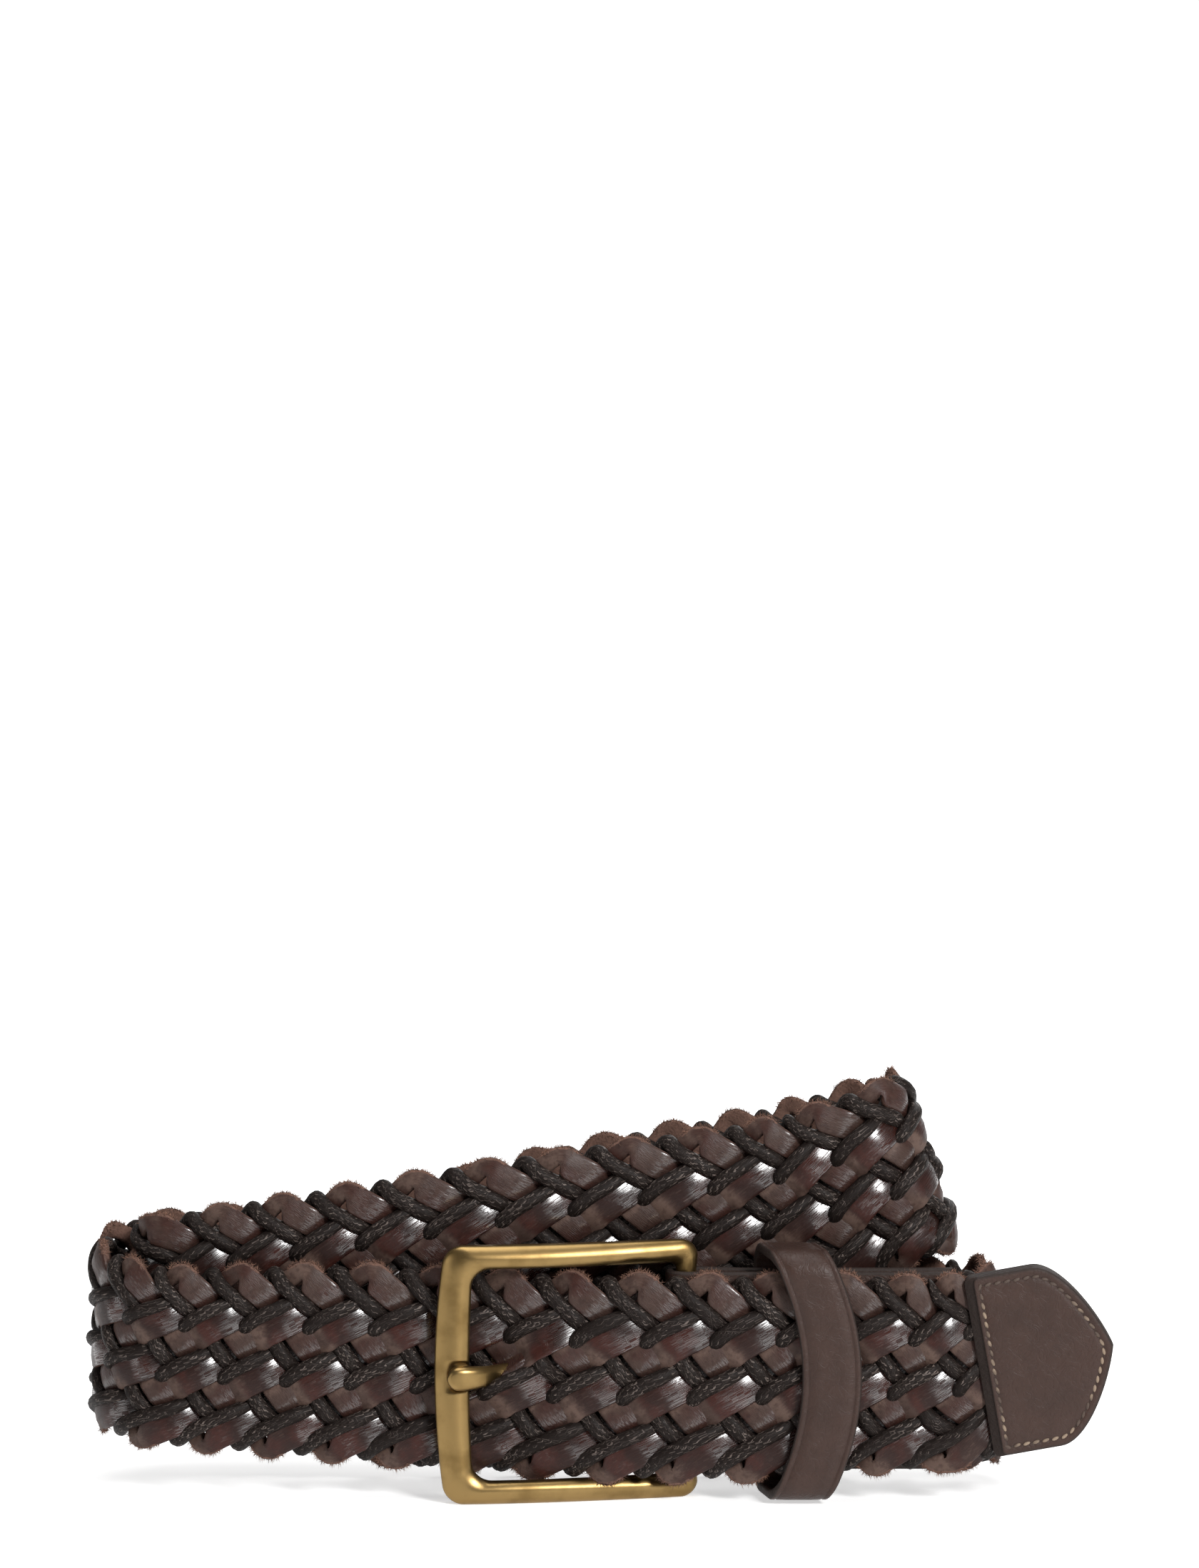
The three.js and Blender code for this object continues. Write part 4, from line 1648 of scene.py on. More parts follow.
    def section(self, bar: float, depth: float, roundness: float) -> List[Point]:
        """A bar's section, from its outer edge round by the front: across and deep.

        Args:
            bar: its size across.
            depth: its size from front to back.
            roundness: 1 for a round rod, 0 for the frame's own cast section.

        Returns:
            Pairs across, outer positive, and deep, back positive.
        """
        points = []
        for k in range(self.around):
            angle = 2 * math.pi * k / self.around
            power = lerp(self.cast_power, 1.0, roundness)
            across = math.copysign(abs(math.cos(angle)) ** power, math.cos(angle))
            deep = math.copysign(abs(math.sin(angle)) ** power, math.sin(angle))
            if deep < 0:
                deep *= 1 - self.facet * (1 - roundness) * abs(across - self.ridge) ** 1.3
            points.append((across * bar / 2, deep * depth / 2))
        return points

    def dent(self, station: BarStation, across: float, deep: float) -> float:
        """How far the prong's notch presses a point of the left bar back.

        Args:
            station: the bar's station.
            across: the point's share across the bar, 1 at its outer edge.
            deep: the point's share from front to back, -1 at the front.

        Returns:
            The way back, in millimetres.
        """
        s = self.sizes
        away = (station.outer[1] - s.level) / self.notch_half
        if station.outer[0] > s.frame_left or abs(away) > 1 or deep > 0.3:
            return 0.0
        bowl = (1 - away * away) ** 0.6
        inward = smooth((0.3 - across) / 0.75)
        return bowl * inward * (0.25 + 0.75 * smooth(-deep)) * s.prong_thickness * self.notch_depth

    def make_frame(self) -> None:
        """Makes the frame, with the prong's notch in its left bar."""
        s = self.sizes
        origin = s.origin()
        rings = []
        for station in self.path():
            outer_x = self.bowed(station.outer, s.frame_bow)
            inner_x = self.bowed(station.inner, s.inner_bow)
            middle = (outer_x + inner_x) / 2
            place = Vector((middle, self.arch(middle), (station.outer[1] + station.inner[1]) / 2)) + origin
            across = Vector((outer_x - inner_x, 0, station.outer[1] - station.inner[1]))
            bar = across.length
            across.normalize()
            ring = []
            for wide, deep in self.section(bar, station.depth, station.roundness):
                back = deep + self.dent(station, wide / bar * 2, deep / station.depth * 2)
                ring.append(place + across * wide + Vector((0, back, 0)))
            rings.append(ring)
        made = mesh_object("belt_buckle_frame", skin(rings, True), self.metal)
        finish_piece(made, "brass", "buckle_frame")

    def make_prong(self) -> None:
        """Makes the prong with its eye.

        Each row holds the place along, the share of the way to the front and the share of the width.
        """
        s = self.sizes
        origin = s.origin()
        rows = (
            (0.0, 0.0, 1.0),
            (0.2, 0.03, 0.92),
            (0.45, 0.1, 0.86),
            (0.62, 0.2, 0.82),
            (0.7, 0.34, 0.8),
            (0.76, 0.52, 0.8),
            (0.8, 0.68, 0.83),
            (0.84, 0.83, 0.88),
            (0.88, 0.93, 0.96),
            (0.93, 1.0, 1.03),
            (1.0, 1.03, 0.98),
        )
        root_x = -s.fold_inner
        root_y = s.pivot_setback - 0.1 * s.prong_thickness
        front = s.notch - s.clearance - s.prong_thickness / 2
        rings = []
        for k in range(self.prong_steps + 1):
            along = k / self.prong_steps
            left = (1 - along) * (root_x - s.prong_tip)
            nose = min(1.0, left / (s.prong_width * 0.5))
            cap = math.sqrt(max(1 - (1 - nose) ** 2, 0.0004))
            x = lerp(root_x, s.prong_tip, along)
            y = lerp(root_y, front, between(rows, 1, along))
            wide = s.prong_width * between(rows, 2, along) * cap
            thick = s.prong_thickness * (0.35 + 0.65 * cap)
            section = rounded_section(thick, wide, min(thick, wide) * 0.49, 6)
            rings.append([Vector((x, y + deep, s.level + up)) + origin for deep, up in section])
        made = mesh_object("belt_buckle_prong", skin(rings, False), self.metal)
        combine(made, "UNION", self.eye())
        finish_piece(made, "brass", "buckle_prong")

    def eye(self) -> Object:
        """The prong's eye round the pivot bar.

        Returns:
            A closed ring.
        """
        s = self.sizes
        middle = s.origin() + Vector((0, s.pivot_setback, s.level))
        rings = []
        for k in range(self.eye_steps):
            angle = k / self.eye_steps * 2 * math.pi
            out = Vector((math.cos(angle), math.sin(angle), 0))
            section = rounded_section(s.eye_wall, s.prong_width, s.eye_wall * 0.4, 3)
            radius = s.fold_inner + s.eye_wall / 2
            rings.append([middle + out * (radius + across) + Vector((0, 0, up)) for across, up in section])
        return mesh_object("eye", skin(rings, True), self.metal)


@dataclass
class Chape:
    """The strip of leather folded round the pivot bar, with a slot for the prong.

    Rounding is its edges' radius as a share of its thickness. The slot is slot_slack wider than the
    prong on each side and ends slot_reach fold radii behind the pivot bar's middle.
    """

    sizes: Sizes
    leather: Material
    rounding: float = 0.4
    slot_slack: float = 0.5
    slot_reach: float = 1.3
    fold_steps: int = 24
    leg_steps: int = 20
    slot_steps: int = 12

    def line(self) -> List[Point]:
        """The leather's middle seen from above, from the front leg's end round the fold.

        Returns:
            Pairs of X and depth.
        """
        s = self.sizes
        steps = self.fold_steps
        front = s.chape_front + s.leather / 2
        back = s.chape_back - s.leather / 2
        radius = s.fold_inner + s.leather / 2
        fold_back = s.pivot_setback + radius
        points = [(lerp(s.chape_length, 0.0, k / steps), front) for k in range(steps)]
        for k in range(steps + 1):
            angle = -math.pi / 2 - math.pi * k / steps
            points.append((radius * math.cos(angle), s.pivot_setback + radius * math.sin(angle)))
        for k in range(1, steps + 1):
            share = k / steps
            points.append((s.chape_ease * share, lerp(fold_back, back, smooth(share))))
        for k in range(1, self.leg_steps + 1):
            points.append((lerp(s.chape_ease, s.chape_length, k / self.leg_steps), back))
        return points

    def slot(self) -> Object:
        """The cutter of the slot.

        Returns:
            A closed object that reaches through both layers.
        """
        s = self.sizes
        half = s.prong_width / 2 + self.slot_slack
        rings = []
        for y in (s.chape_front - s.leather, s.pivot_setback + s.fold_outer + s.leather):
            ring = [Vector((-3 * s.fold_outer, y, s.level + side)) for side in (half, -half)]
            for k in range(self.slot_steps + 1):
                angle = -math.pi / 2 + math.pi * k / self.slot_steps
                x = s.fold_outer * self.slot_reach - half + half * math.cos(angle)
                ring.append(Vector((x, y, s.level + half * math.sin(angle))))
            rings.append([point + s.origin() for point in ring])
        return mesh_object("slot_cutter", skin(rings, False), self.leather)

    def make(self) -> None:
        """Makes the chape."""
        s = self.sizes
        height = s.width - 2 * s.chape_inset
        edge = s.leather * self.rounding
        section = rounded_section(s.leather, height, edge, 4)
        line = self.line()
        rings = []
        for k, (x, y) in enumerate(line):
            before, after = line[max(k - 1, 0)], line[min(k + 1, len(line) - 1)]
            along = Vector((after[0] - before[0], after[1] - before[1], 0)).normalized()
            out = Vector((along.y, -along.x, 0))
            place = Vector((x, y, s.level)) + s.origin()
            rings.append([place + out * across + Vector((0, 0, up)) for across, up in section])
        rims = [float(abs(up) > height / 2 - edge) for _, up in section]
        made = mesh_object("belt_chape", skin(rings, False, rims), self.leather)
        combine(made, "DIFFERENCE", self.slot())
        finish_piece(made, "smooth_leather", "chape")


@dataclass
class Keeper:
    """The leather loop, with a line scored near each edge of its band.

    Edge is the band's rounding and crown how far its face bulges. Its rim counts as a cut edge, which
    fades over rim_ease.
    """

    sizes: Sizes
    leather: Material
    score_inset: float = 1.15
    score_depth: float = 0.16
    edge: float = 0.55
    crown: float = 0.05
    rim: float = 0.5
    rim_ease: float = 0.4
    corner_steps: int = 12
    wall_steps: int = 40

    def section(self) -> List[Point]:
        """The band's section.

        Returns:
            Pairs across the band and out of the loop, from its right edge round by the front.
        """
        half, wall = self.sizes.keeper_band / 2, self.sizes.keeper_wall / 2
        points: List[Point] = []

        def corner(side: int, face: int, quarter: int, steps: int) -> None:
            """Adds a rounded corner."""
            for k in range(steps + 1):
                angle = (quarter + k / steps) * math.pi / 2
                across = side * (half - self.edge) + self.edge * math.cos(angle)
                points.append((across, face * (wall - self.edge) + self.edge * math.sin(angle)))

        corner(1, 1, 0, 4)
        for side in (1, -1):
            middle = side * (half - self.score_inset)
            for shift, depth in ((0.28, 0.0), (0.12, 0.7), (0.0, 1.0), (-0.12, 0.7), (-0.28, 0.0)):
                points.append((middle + shift, wall - self.score_depth * depth))
            if side == 1:
                points += [(half * share, wall + self.crown) for share in (0.4, 0.0, -0.4)]
        corner(-1, 1, 1, 4)
        corner(-1, -1, 2, 3)
        corner(1, -1, 3, 3)
        return points

    def make(self) -> None:
        """Makes the keeper."""
        s = self.sizes
        origin = s.origin()
        height = s.width + 2 * (s.keeper_slack + s.keeper_wall)
        front = s.keeper_front + s.keeper_wall / 2
        back = s.keeper_back - s.keeper_wall / 2
        low = s.level - (height - s.keeper_wall) / 2
        high = s.level + (height - s.keeper_wall) / 2
        r = s.keeper_corner
        path: List[Tuple[float, float, float, float]] = []

        def corner(cy: float, cz: float, start: float) -> None:
            """Adds a quarter turn."""
            for k in range(self.corner_steps + 1):
                angle = start + k / self.corner_steps * math.pi / 2
                out = (math.cos(angle), math.sin(angle))
                path.append((cy + r * out[0], cz + r * out[1], *out))

        def wall(y: float, z0: float, z1: float, out: float) -> None:
            """Adds a straight wall."""
            steps = self.wall_steps
            path.extend((y, lerp(z0, z1, k / steps), out, 0.0) for k in range(1, steps))

        corner(back - r, high - r, 0.0)
        corner(front + r, high - r, math.pi / 2)
        wall(front, high - r, low + r, -1.0)
        corner(front + r, low + r, math.pi)
        corner(back - r, low + r, 1.5 * math.pi)
        wall(back, low + r, high - r, 1.0)
        section = self.section()
        rings = []
        for y, z, out_y, out_z in path:
            forward = (back - y) / (back - front)
            share = (z - s.level) / (high - s.level)
            x = s.keeper_seat + s.keeper_skew * forward + s.keeper_bow * forward * (1 - share * share)
            place = Vector((x, y, z)) + origin
            out = Vector((0, out_y, out_z))
            rings.append([place + Vector((wide, 0, 0)) + out * thick for wide, thick in section])
        half = s.keeper_band / 2
        rims = [smooth((abs(wide) - half + self.rim) / self.rim_ease) for wide, _ in section]
        made = mesh_object("belt_keeper", skin(rings, True, rims), self.leather)
        finish_piece(made, "smooth_leather", "keeper_loop")


@dataclass
class TipTab:
    """The pointed leather end: plies pressed together, with a lip at its left and a sunk stitch line."""

    sizes: Sizes
    leather: Material
    last: Station
    forward: Vector
    start: float = 0.25
    lip: float = 1.5
    stitch_inset: float = 1.6
    stitch_left: float = 0.9
    corner_steps: int = 8
    straight_steps: int = 12
    nose_steps: int = 26

    def outline(self, inset: float = 0.0, left: float = 0.0) -> List[Point]:
        """The tab's outline moved inwards, in along and up from its left middle.

        Args:
            inset: how far all of it moves in.
            left: how much further its straight left edge moves in.

        Returns:
            Its points, anticlockwise from the lower left corner.
        """
        s = self.sizes
        edge, end = s.tab_height / 2, s.tab_length
        straight, shoulder = end * s.tab_straight, end * s.tab_shoulder
        radius = max(s.tab_corner - inset, 0.0)
        start = inset + left
        lower: List[Point] = []
        for k in range(self.corner_steps + 1):
            angle = math.pi + k / self.corner_steps * math.pi / 2
            x = start + radius * (1 + math.cos(angle))
            lower.append((x, inset - edge + radius * (1 + math.sin(angle))))
        for k in range(1, self.straight_steps):
            lower.append((lerp(start + radius, straight, k / self.straight_steps), inset - edge))
        controls = ((straight, -edge), (shoulder, -edge), (end - s.tab_nose / 4, -s.tab_nose), (end, 0.0))
        for k in range(self.nose_steps + 1):
            t = k / self.nose_steps
            weights = ((1 - t) ** 3, 3 * t * (1 - t) ** 2, 3 * t * t * (1 - t), t**3)
            slopes = (-((1 - t) ** 2), (1 - t) * (1 - 3 * t), t * (2 - 3 * t), t * t)
            x, y = (sum(w * c[axis] for w, c in zip(weights, controls)) for axis in (0, 1))
            ahead = Vector([sum(w * c[axis] for w, c in zip(slopes, controls)) for axis in (0, 1)])
            ahead.normalize()
            lower.append((x - ahead.y * inset, y + ahead.x * inset))
        over = next((k for k, (_, y) in enumerate(lower) if y > 0), len(lower) - 1)
        (x0, y0), (x1, y1) = lower[over - 1], lower[over]
        apex = lerp(x0, x1, -y0 / (y1 - y0))
        lower[over:] = [(apex, 0.0)] * (len(lower) - over)
        return lower + [(x, -y) for x, y in reversed(lower[:-1])]

    def place(self, along: float, out: float, up: float) -> Vector:
        """A point of the tab in the frame, in millimetres."""
        side = self.forward.cross(Vector((0, 0, 1))).normalized()
        rise = side.cross(self.forward)
        start = self.last.place + self.forward * (self.start + self.sizes.clearance)
        return start + self.sizes.origin() + self.forward * along + side * out + rise * up

    def stitch_lines(self) -> List[List[Vector]]:
        """The stitch lines of the front and of the back, in metres."""
        rise = self.sizes.tab_thickness / 2 - 0.1
        points = self.outline(self.stitch_inset, self.stitch_left)
        return [[self.place(x, side * rise, y) * MM for x, y in points] for side in (1, -1)]

    def profile(self) -> Tuple[Tuple[float, float, float, float], ...]:
        """The tab's form from its rim inwards.

        Returns:
            Rows of how far the outline moves in, how much further its left edge does, the height
            over the middle ply and how much the place counts as a cut edge.
        """
        half = self.sizes.tab_thickness / 2
        step, line = self.lip, self.stitch_inset
        return (
            (0.16, 0.0, 0.0, 1.0),
            (0.0, 0.0, 0.12, 1.0),
            (0.0, 0.0, half - 1.35, 1.0),
            (0.14, 0.0, half - 1.2, 1.0),
            (0.0, 0.0, half - 1.05, 1.0),
            (0.05, 0.0, half - 0.66, 1.0),
            (0.1, step - 0.14, half - 0.56, 1.0),
            (0.1, step - 0.1, half - 0.4, 1.0),
            (0.2, step - 0.15, half - 0.14, 0.9),
            (0.5, step - 0.3, half + 0.02, 0.55),
            (0.9, step - 0.45, half + 0.04, 0.15),
            (line - 0.3, step - 0.55, half - 0.03, 0.2),
            (line, self.stitch_left, half - 0.2, 0.7),
            (line + 0.3, self.stitch_left, half - 0.06, 0.1),
            (line + 1.0, self.stitch_left - 0.1, half + 0.03, 0.0),
            (line + 2.0, self.stitch_left - 0.2, half + 0.06, 0.0),
        )

    def make(self) -> None:
        """Makes the tab, from its middle ply outwards on both sides."""
        s = self.sizes
        half = s.tab_thickness / 2
        top = 0.12
        build = bmesh.new()
        uv = build.loops.layers.uv.new("UVMap")
        rim_layer = build.verts.layers.float.new("rim")
        middle = (s.tab_length * 0.45, 0.0)
        for sign in (1, -1):
            rings = []
            for inset, left, rise, rim in self.profile():
                rings.append(([(x, y, sign * rise) for x, y in self.outline(inset, left)], rim))
            inner = rings[-1][0]
            for shrink, rise in ((0.75, 0.09), (0.5, 0.11), (0.25, top)):
                out = sign * (half + rise)
                ring = [(lerp(middle[0], x, shrink), lerp(middle[1], y, shrink), out) for x, y, _ in inner]
                rings.append((ring, 0.0))
            verts = []
            for ring, rim in rings:
                verts.append([build.verts.new(self.place(x, out, y) * MM) for x, y, out in ring])
                for vert in verts[-1]:
                    vert[rim_layer] = rim
            centre = build.verts.new(self.place(middle[0], sign * (half + top), middle[1]) * MM)
            count = len(inner)
            for k in range(count):
                n = (k + 1) % count
                for here, there in zip(verts, verts[1:]):
                    corners = (here[k], here[n], there[n], there[k])
                    build.faces.new(corners if sign > 0 else corners[::-1])
                corners = (verts[-1][k], verts[-1][n], centre)
                build.faces.new(corners if sign > 0 else corners[::-1])
        bmesh.ops.remove_doubles(build, verts=build.verts[:], dist=1e-6)
        for one in build.faces:
            for loop in one.loops:
                loop[uv].uv = (loop.vert.co.x / MM, loop.vert.co.z / MM)
        made = mesh_object("belt_tip_tab", build, self.leather)
        finish_piece(made, "smooth_leather", "tip_tab")


@dataclass
class Scatter:
    """A Geometry Nodes tree that puts small things on a host, and the modifier that runs it."""

    name: str
    material: Material

    def inputs(self) -> Sequence[Tuple[str, str, object]]:
        """Name, socket kind and value of each input."""
        return ()

    def start(self) -> Tuple[Graph, List[Sock]]:
        """Makes the tree with its sockets.

        Returns:
            Its graph, and a list of the host and of each input.
        """
        tree = bpy.data.node_groups.new(self.name, "GeometryNodeTree")
        tree.interface.new_socket("Host", in_out="INPUT", socket_type="NodeSocketGeometry")
        for name, kind, _ in self.inputs():
            tree.interface.new_socket(name, in_out="INPUT", socket_type=kind)
        tree.interface.new_socket("Made", in_out="OUTPUT", socket_type="NodeSocketGeometry")
        graph = Graph(tree)
        inputs = tree.nodes.new("NodeGroupInput")
        return graph, [Sock(graph, inputs.outputs[k]) for k in range(1 + len(self.inputs()))]

    def end(self, graph: Graph, made: Sock) -> NodeTree:
        """Realizes the instances and gives them their finish.

        Args:
            graph: the tree's graph.
            made: the instances.

        Returns:
            The whole tree.
        """
        made = graph.node("GeometryNodeRealizeInstances", None, {0: made})
        made = graph.node("GeometryNodeSetShadeSmooth", None, {0: made})
        made = graph.node("GeometryNodeSetMaterial", None, {0: made, "Material": self.material})
        outputs = graph.tree.nodes.new("NodeGroupOutput")
        graph.tree.links.new(made.socket, outputs.inputs[0])
        return graph.tree

    def run(self, tree: NodeTree, name: str, mesh: Mesh, slot: str) -> None:
        """Runs the tree on a host mesh, and makes the result a piece.

        Args:
            tree: the tree.
            name: the piece's name.
            mesh: the host.
            slot: the piece's material slot.
        """
        piece = add_object(name, mesh)
        run_nodes(piece, tree, {label: value for label, _, value in self.inputs()})
        finish_piece(piece, slot)


@dataclass
class Stitches(Scatter):
    """Short slanted stitches along closed lines."""

    lines: List[List[Vector]] = field(default_factory=list)
    out: Vector = field(default_factory=Vector)
    size: Tuple[float, float, float] = (1.3, 0.6, 0.48)
    pitch: float = 1.65
    slant: float = 0.24

    def inputs(self) -> Sequence[Tuple[str, str, object]]:
        """How many stitches each line gets, and the way that they face.

        Returns:
            The inputs Count and Out.
        """
        line = self.lines[0]
        length = sum((line[k] - line[k - 1]).length for k in range(len(line))) / MM
        return (
            ("Count", "NodeSocketInt", round(length / self.pitch)),
            ("Out", "NodeSocketVector", self.out),
        )

    def make(self) -> None:
        """Makes every stitch of the lines as one piece."""
        graph, (host, count, out) = self.start()
        curve = graph.node("GeometryNodeMeshToCurve", None, {0: host})
        curve = graph.node("GeometryNodeResampleCurve", None, {0: curve, "Count": count})
        axes = {"primary_axis": "X", "secondary_axis": "Z"}
        tangent = graph.node("GeometryNodeInputTangent")
        turn = graph.node("FunctionNodeAxesToRotation", axes, {0: tangent, 1: out})
        lean = graph.node("FunctionNodeEulerToRotation", None, {0: (0.0, 0.0, self.slant)})
        turn = graph.node("FunctionNodeRotateRotation", {"rotation_space": "LOCAL"}, {0: turn, 1: lean})
        drop = graph.node("GeometryNodeMeshUVSphere", None, {"Segments": 12, "Rings": 8, "Radius": 1.0})
        scale = tuple(part / 2 * MM for part in self.size)
        points = {0: curve, "Instance": drop, "Rotation": turn, "Scale": scale}
        tree = self.end(graph, graph.node("GeometryNodeInstanceOnPoints", None, points))
        mesh = bpy.data.meshes.new(self.name)
        edges, verts = [], []
        for line in self.lines:
            first, count = len(verts), len(line)
            verts += line
            edges += [(first + k, first + (k + 1) % count) for k in range(count)]
        mesh.from_pydata(verts, edges, [])
        self.run(tree, self.name, mesh, "smooth_leather")


@dataclass
class Fringe(Scatter):
    """Fine fibres that stand out of the strips' cut edges, along the strap's two sides.

    Density is in fibres per square metre, width and length are in millimetres. A fibre leans by up to
    tilt and turns by up to spin, in radians.
    """

    density: float = 1.3e7
    width: float = 0.11
    length: Tuple[float, float] = (0.4, 1.2)
    tilt: float = 0.9
    spin: float = 3.0
    seed: int = 7
    size_seed: int = 3

    def inputs(self) -> Sequence[Tuple[str, str, object]]:
        """How close the fibres stand, and the seed of their places."""
        return (("Density", "NodeSocketFloat", self.density), ("Seed", "NodeSocketInt", self.seed))

    def tree(self) -> NodeTree:
        """Builds the tree that grows fibres on the cut edges, near the strap's sides.

        Returns:
            The tree, with inputs Density and Seed.
        """
        graph, (host, density, seed) = self.start()
        turn, across = (
            graph.node("GeometryNodeInputNamedAttribute", {"data_type": "FLOAT"}, {"Name": name})
            for name in ("turn", "across")
        )
        edge = graph.step(across * turn, 0.86, 0.95)
        spread = {"distribute_method": "RANDOM"}
        where = {0: host, "Density": edge * density, "Seed": seed}
        points = graph.node("GeometryNodeDistributePointsOnFaces", spread, where)
        turn = Sock(graph, points.socket.node.outputs["Rotation"])
        most = Vector((self.tilt, self.tilt, self.spin))
        tilts = {0: -most, 1: most, "Seed": seed}
        random = {"data_type": "FLOAT_VECTOR"}
        lean = graph.node("FunctionNodeRandomValue", random, tilts)
        lean = graph.node("FunctionNodeEulerToRotation", None, {0: lean})
        turn = graph.node("FunctionNodeRotateRotation", {"rotation_space": "LOCAL"}, {0: turn, 1: lean})
        sizes = [(self.width / 2 * MM, self.width / 2 * MM, length * MM) for length in self.length]
        scales = {0: sizes[0], 1: sizes[1], "Seed": self.size_seed}
        scale = graph.node("FunctionNodeRandomValue", random, scales)
        cone = {"Vertices": 3, "Side Segments": 1, "Radius Top": 0.0, "Radius Bottom": 1.0, "Depth": 1.0}
        fibre = graph.node("GeometryNodeMeshCone", None, cone)
        placed = {0: points, "Instance": fibre, "Rotation": turn, "Scale": scale}
        return self.end(graph, graph.node("GeometryNodeInstanceOnPoints", None, placed))

    def grow(self, tree: NodeTree, strip: Object) -> None:
        """Grows one strip's fibres."""
        self.run(tree, f"{strip.name}_fringe", strip.data, "braid")


@dataclass(frozen=True)
class Lamp:
    """A square soft light: its place and size in metres, and its power in watts."""

    name: str
    place: Tuple[float, float, float]
    size: float
    power: float


LAMPS = (
    Lamp("key", (0.48, -0.74, 0.5), 0.24, 11.0),
    Lamp("top", (-0.05, -0.08, 0.95), 0.6, 5.0),
    Lamp("fill", (-0.85, -0.55, 0.3), 0.5, 1.4),
    Lamp("back", (0.35, 0.95, 0.6), 0.5, 4.0),
)


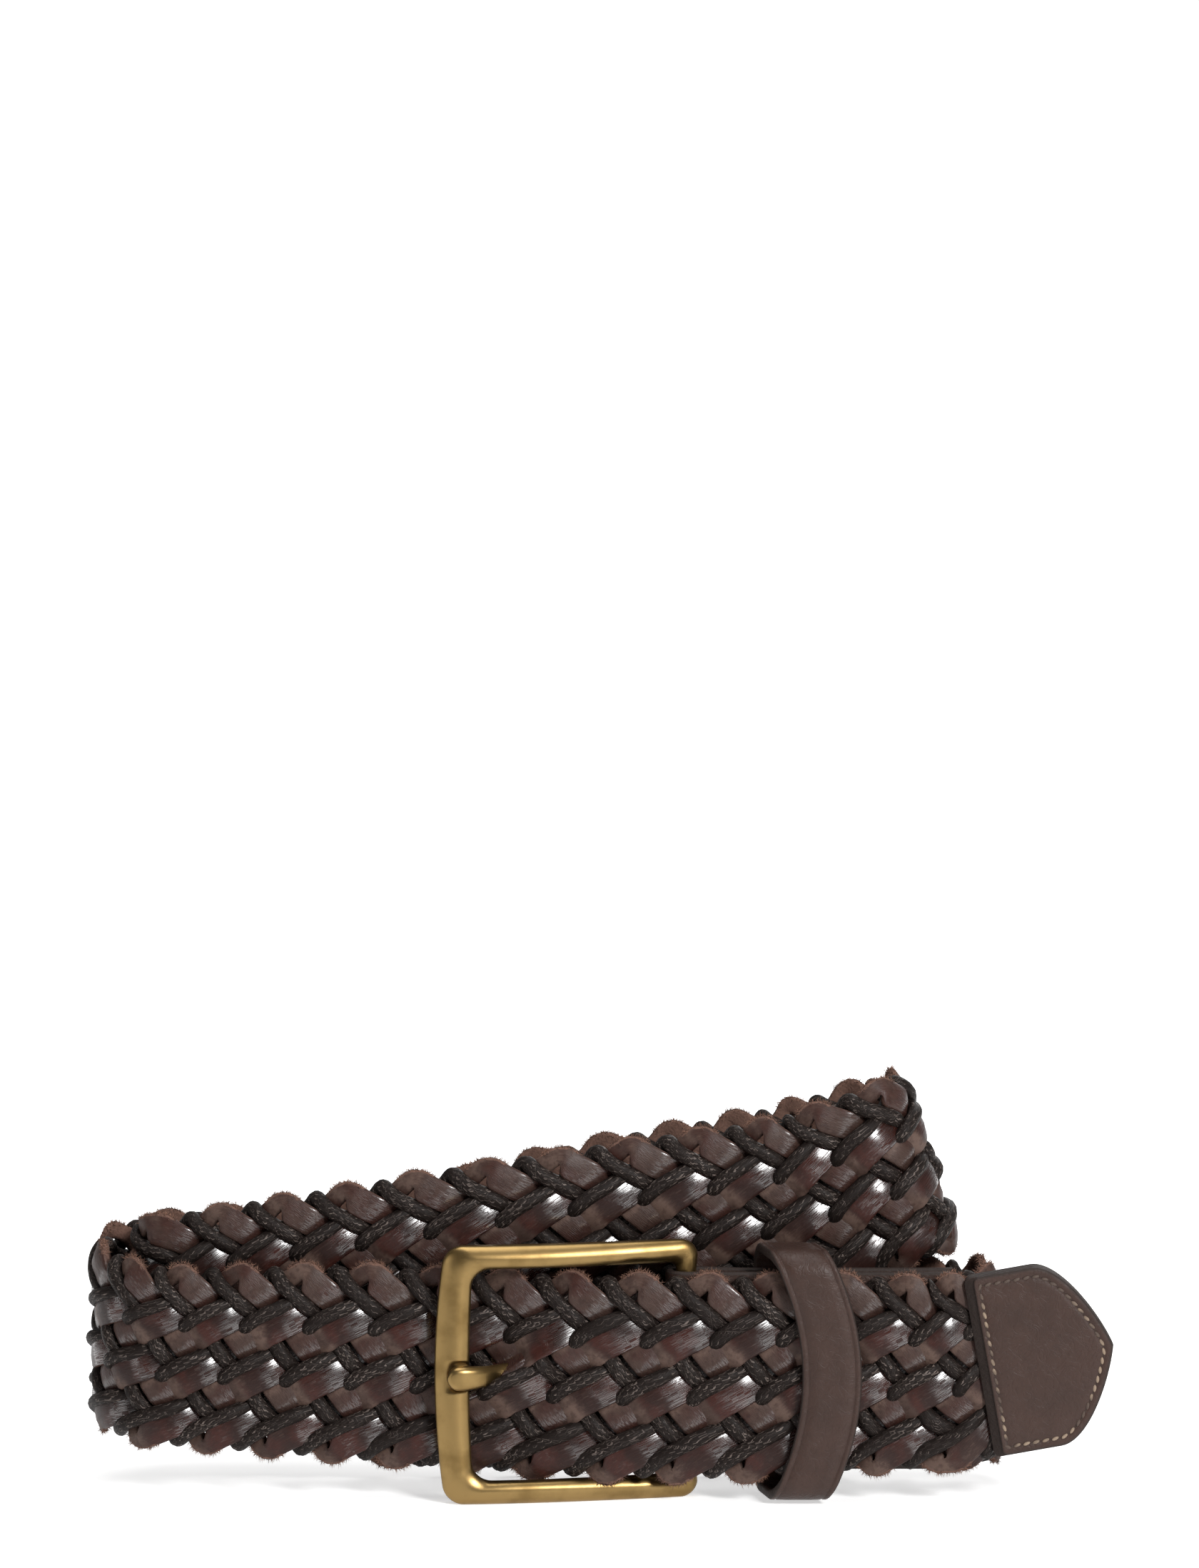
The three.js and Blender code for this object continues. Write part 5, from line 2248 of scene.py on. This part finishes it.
@dataclass
class Studio:
    """The white floor and surroundings, the soft lights and the camera at the photograph's angle.

    Dark_side and bright_side are the surroundings' tones in front of the belt and behind it. The floor
    glows by glow_near close behind the belt and fully past glow_reach. Its glow fades in from front
    to back over glow_front, and past glow_far it is there all round. All reaches are in metres.
    """

    place: Tuple[float, float, float] = (0.0004, -1.2931, 0.2651)
    pitch: float = 6.275
    lens: float = 226.95
    target: Tuple[float, float, float] = (0.0, 0.0, 0.03)
    floor_reach: float = 60.0
    dark_side: float = 0.05
    bright_side: float = 0.3
    glow_near: float = 0.56
    glow_reach: Tuple[float, float] = (0.1, 0.32)
    glow_front: Tuple[float, float] = (-0.13, -0.055)
    glow_far: Tuple[float, float] = (0.4, 0.8)

    def make(self) -> None:
        """Makes the floor, the world, the lights and the camera."""
        bpy.context.scene.view_settings.view_transform = "Standard"
        self.make_floor()
        self.make_world()
        self.make_lights()
        self.make_camera()

    def make_floor(self) -> None:
        """A large pale floor that glows, faintly behind the belt and fully far off, but not before it."""
        build = bmesh.new()
        bmesh.ops.create_grid(build, x_segments=1, y_segments=1, size=self.floor_reach)
        material, graph, shader = new_material("white_floor")
        place = graph.place()
        cloud = graph.noise(place, 3.0, 2.0)
        tone = graph.tint(cloud, (0.78, 0.78, 0.78), (0.8, 0.798, 0.795))
        shader.inputs["Roughness"].default_value = 0.6
        away = graph.math("LENGTH", place)
        glow = graph.tint(graph.step(away, *self.glow_reach), (self.glow_near,) * 3, (1.0, 1.0, 1.0))
        behind = graph.step(graph.parts(place)[1], *self.glow_front)
        behind = graph.math("MAXIMUM", behind, graph.step(away, *self.glow_far))
        graph.feed(shader.inputs["Base Color"], tone)
        graph.feed(shader.inputs["Emission Color"], graph.tint(behind, (0.0, 0.0, 0.0), glow))
        shader.inputs["Emission Strength"].default_value = 1.0
        mesh = bpy.data.meshes.new("floor")
        build.to_mesh(mesh)
        build.free()
        mesh.materials.append(material)
        add_object("floor", mesh)

    def make_world(self) -> None:
        """Surroundings that are white behind the belt and dim in front of it."""
        world = bpy.data.worlds.new("studio")
        world.use_nodes = True
        graph = Graph(world.node_tree)
        ahead = graph.parts(graph.node("ShaderNodeTexCoord", output="Generated"))[1]
        tone = graph.tint(graph.step(ahead, -0.35, 0.45), (self.dark_side,) * 3, (self.bright_side,) * 3)
        graph.feed(world.node_tree.nodes["Background"].inputs["Color"], tone)
        bpy.context.scene.world = world

    def make_lights(self) -> None:
        """Soft boxes above, to the right, to the left and behind."""
        for lamp in LAMPS:
            data = bpy.data.lights.new(lamp.name, "AREA")
            data.shape = "SQUARE"
            data.size = lamp.size
            data.energy = lamp.power
            made = add_object(lamp.name, data)
            made.location = lamp.place
            aim = Vector(self.target) - made.location
            made.rotation_euler = aim.to_track_quat("-Z", "Y").to_euler()

    def make_camera(self) -> None:
        """A long lens whose pitch puts the belt low in the frame, as in the photograph."""
        data = bpy.data.cameras.new("camera")
        data.sensor_fit = "HORIZONTAL"
        data.sensor_width = 36.0
        data.lens = self.lens
        data.clip_start = 0.05
        camera = add_object("camera", data)
        camera.location = self.place
        camera.rotation_euler = (math.radians(90 - self.pitch), 0, 0)
        bpy.context.scene.camera = camera


def main() -> None:
    """Builds the belt, piece by piece, and its studio."""
    logging.basicConfig(level=logging.INFO, format="%(name)s: %(message)s")
    sizes = Sizes()
    leather = FinishedLeather().build()
    brass = AgedBrass().build()

    route = Route(sizes)
    guide = Guide(route)
    guide_object = guide.build()
    origin = sizes.origin()
    gap = ProngGap()
    hole = (origin.x + sizes.prong_tip * gap.along, origin.y + sizes.left_depth)
    braid = Braid(guide, BraidRule(), gap, guide.phase_at(*hole))
    fringe = Fringe("strip_fringe", FleshFibre().build())
    fringe_tree = fringe.tree()
    for kind, material in ((Strand.STRIP, StripLeather().build()), (Strand.CORD, ElasticSheath().build())):
        tree = braid.tree(kind, material)
        for number in range(braid.rule.pairs):
            strand = braid.lay(guide_object, kind, tree, number)
            if kind is Strand.STRIP:
                fringe.grow(fringe_tree, strand)
    bpy.data.objects.remove(guide_object)

    buckle = Buckle(sizes, brass)
    buckle.make_frame()
    buckle.make_prong()
    Chape(sizes, leather).make()
    Keeper(sizes, leather).make()
    # The last two stations are the braid's tail inside the tab
    stations = route.stations()
    last, before = stations[-3], stations[-5]
    tab = TipTab(sizes, leather, last, (last.place - before.place).normalized())
    tab.make()
    out = tab.forward.cross(Vector((0, 0, 1))).normalized()
    Stitches("tab_stitches", Thread().build(), tab.stitch_lines(), out).make()

    Studio().make()
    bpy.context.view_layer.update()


if __name__ == "__main__":
    main()
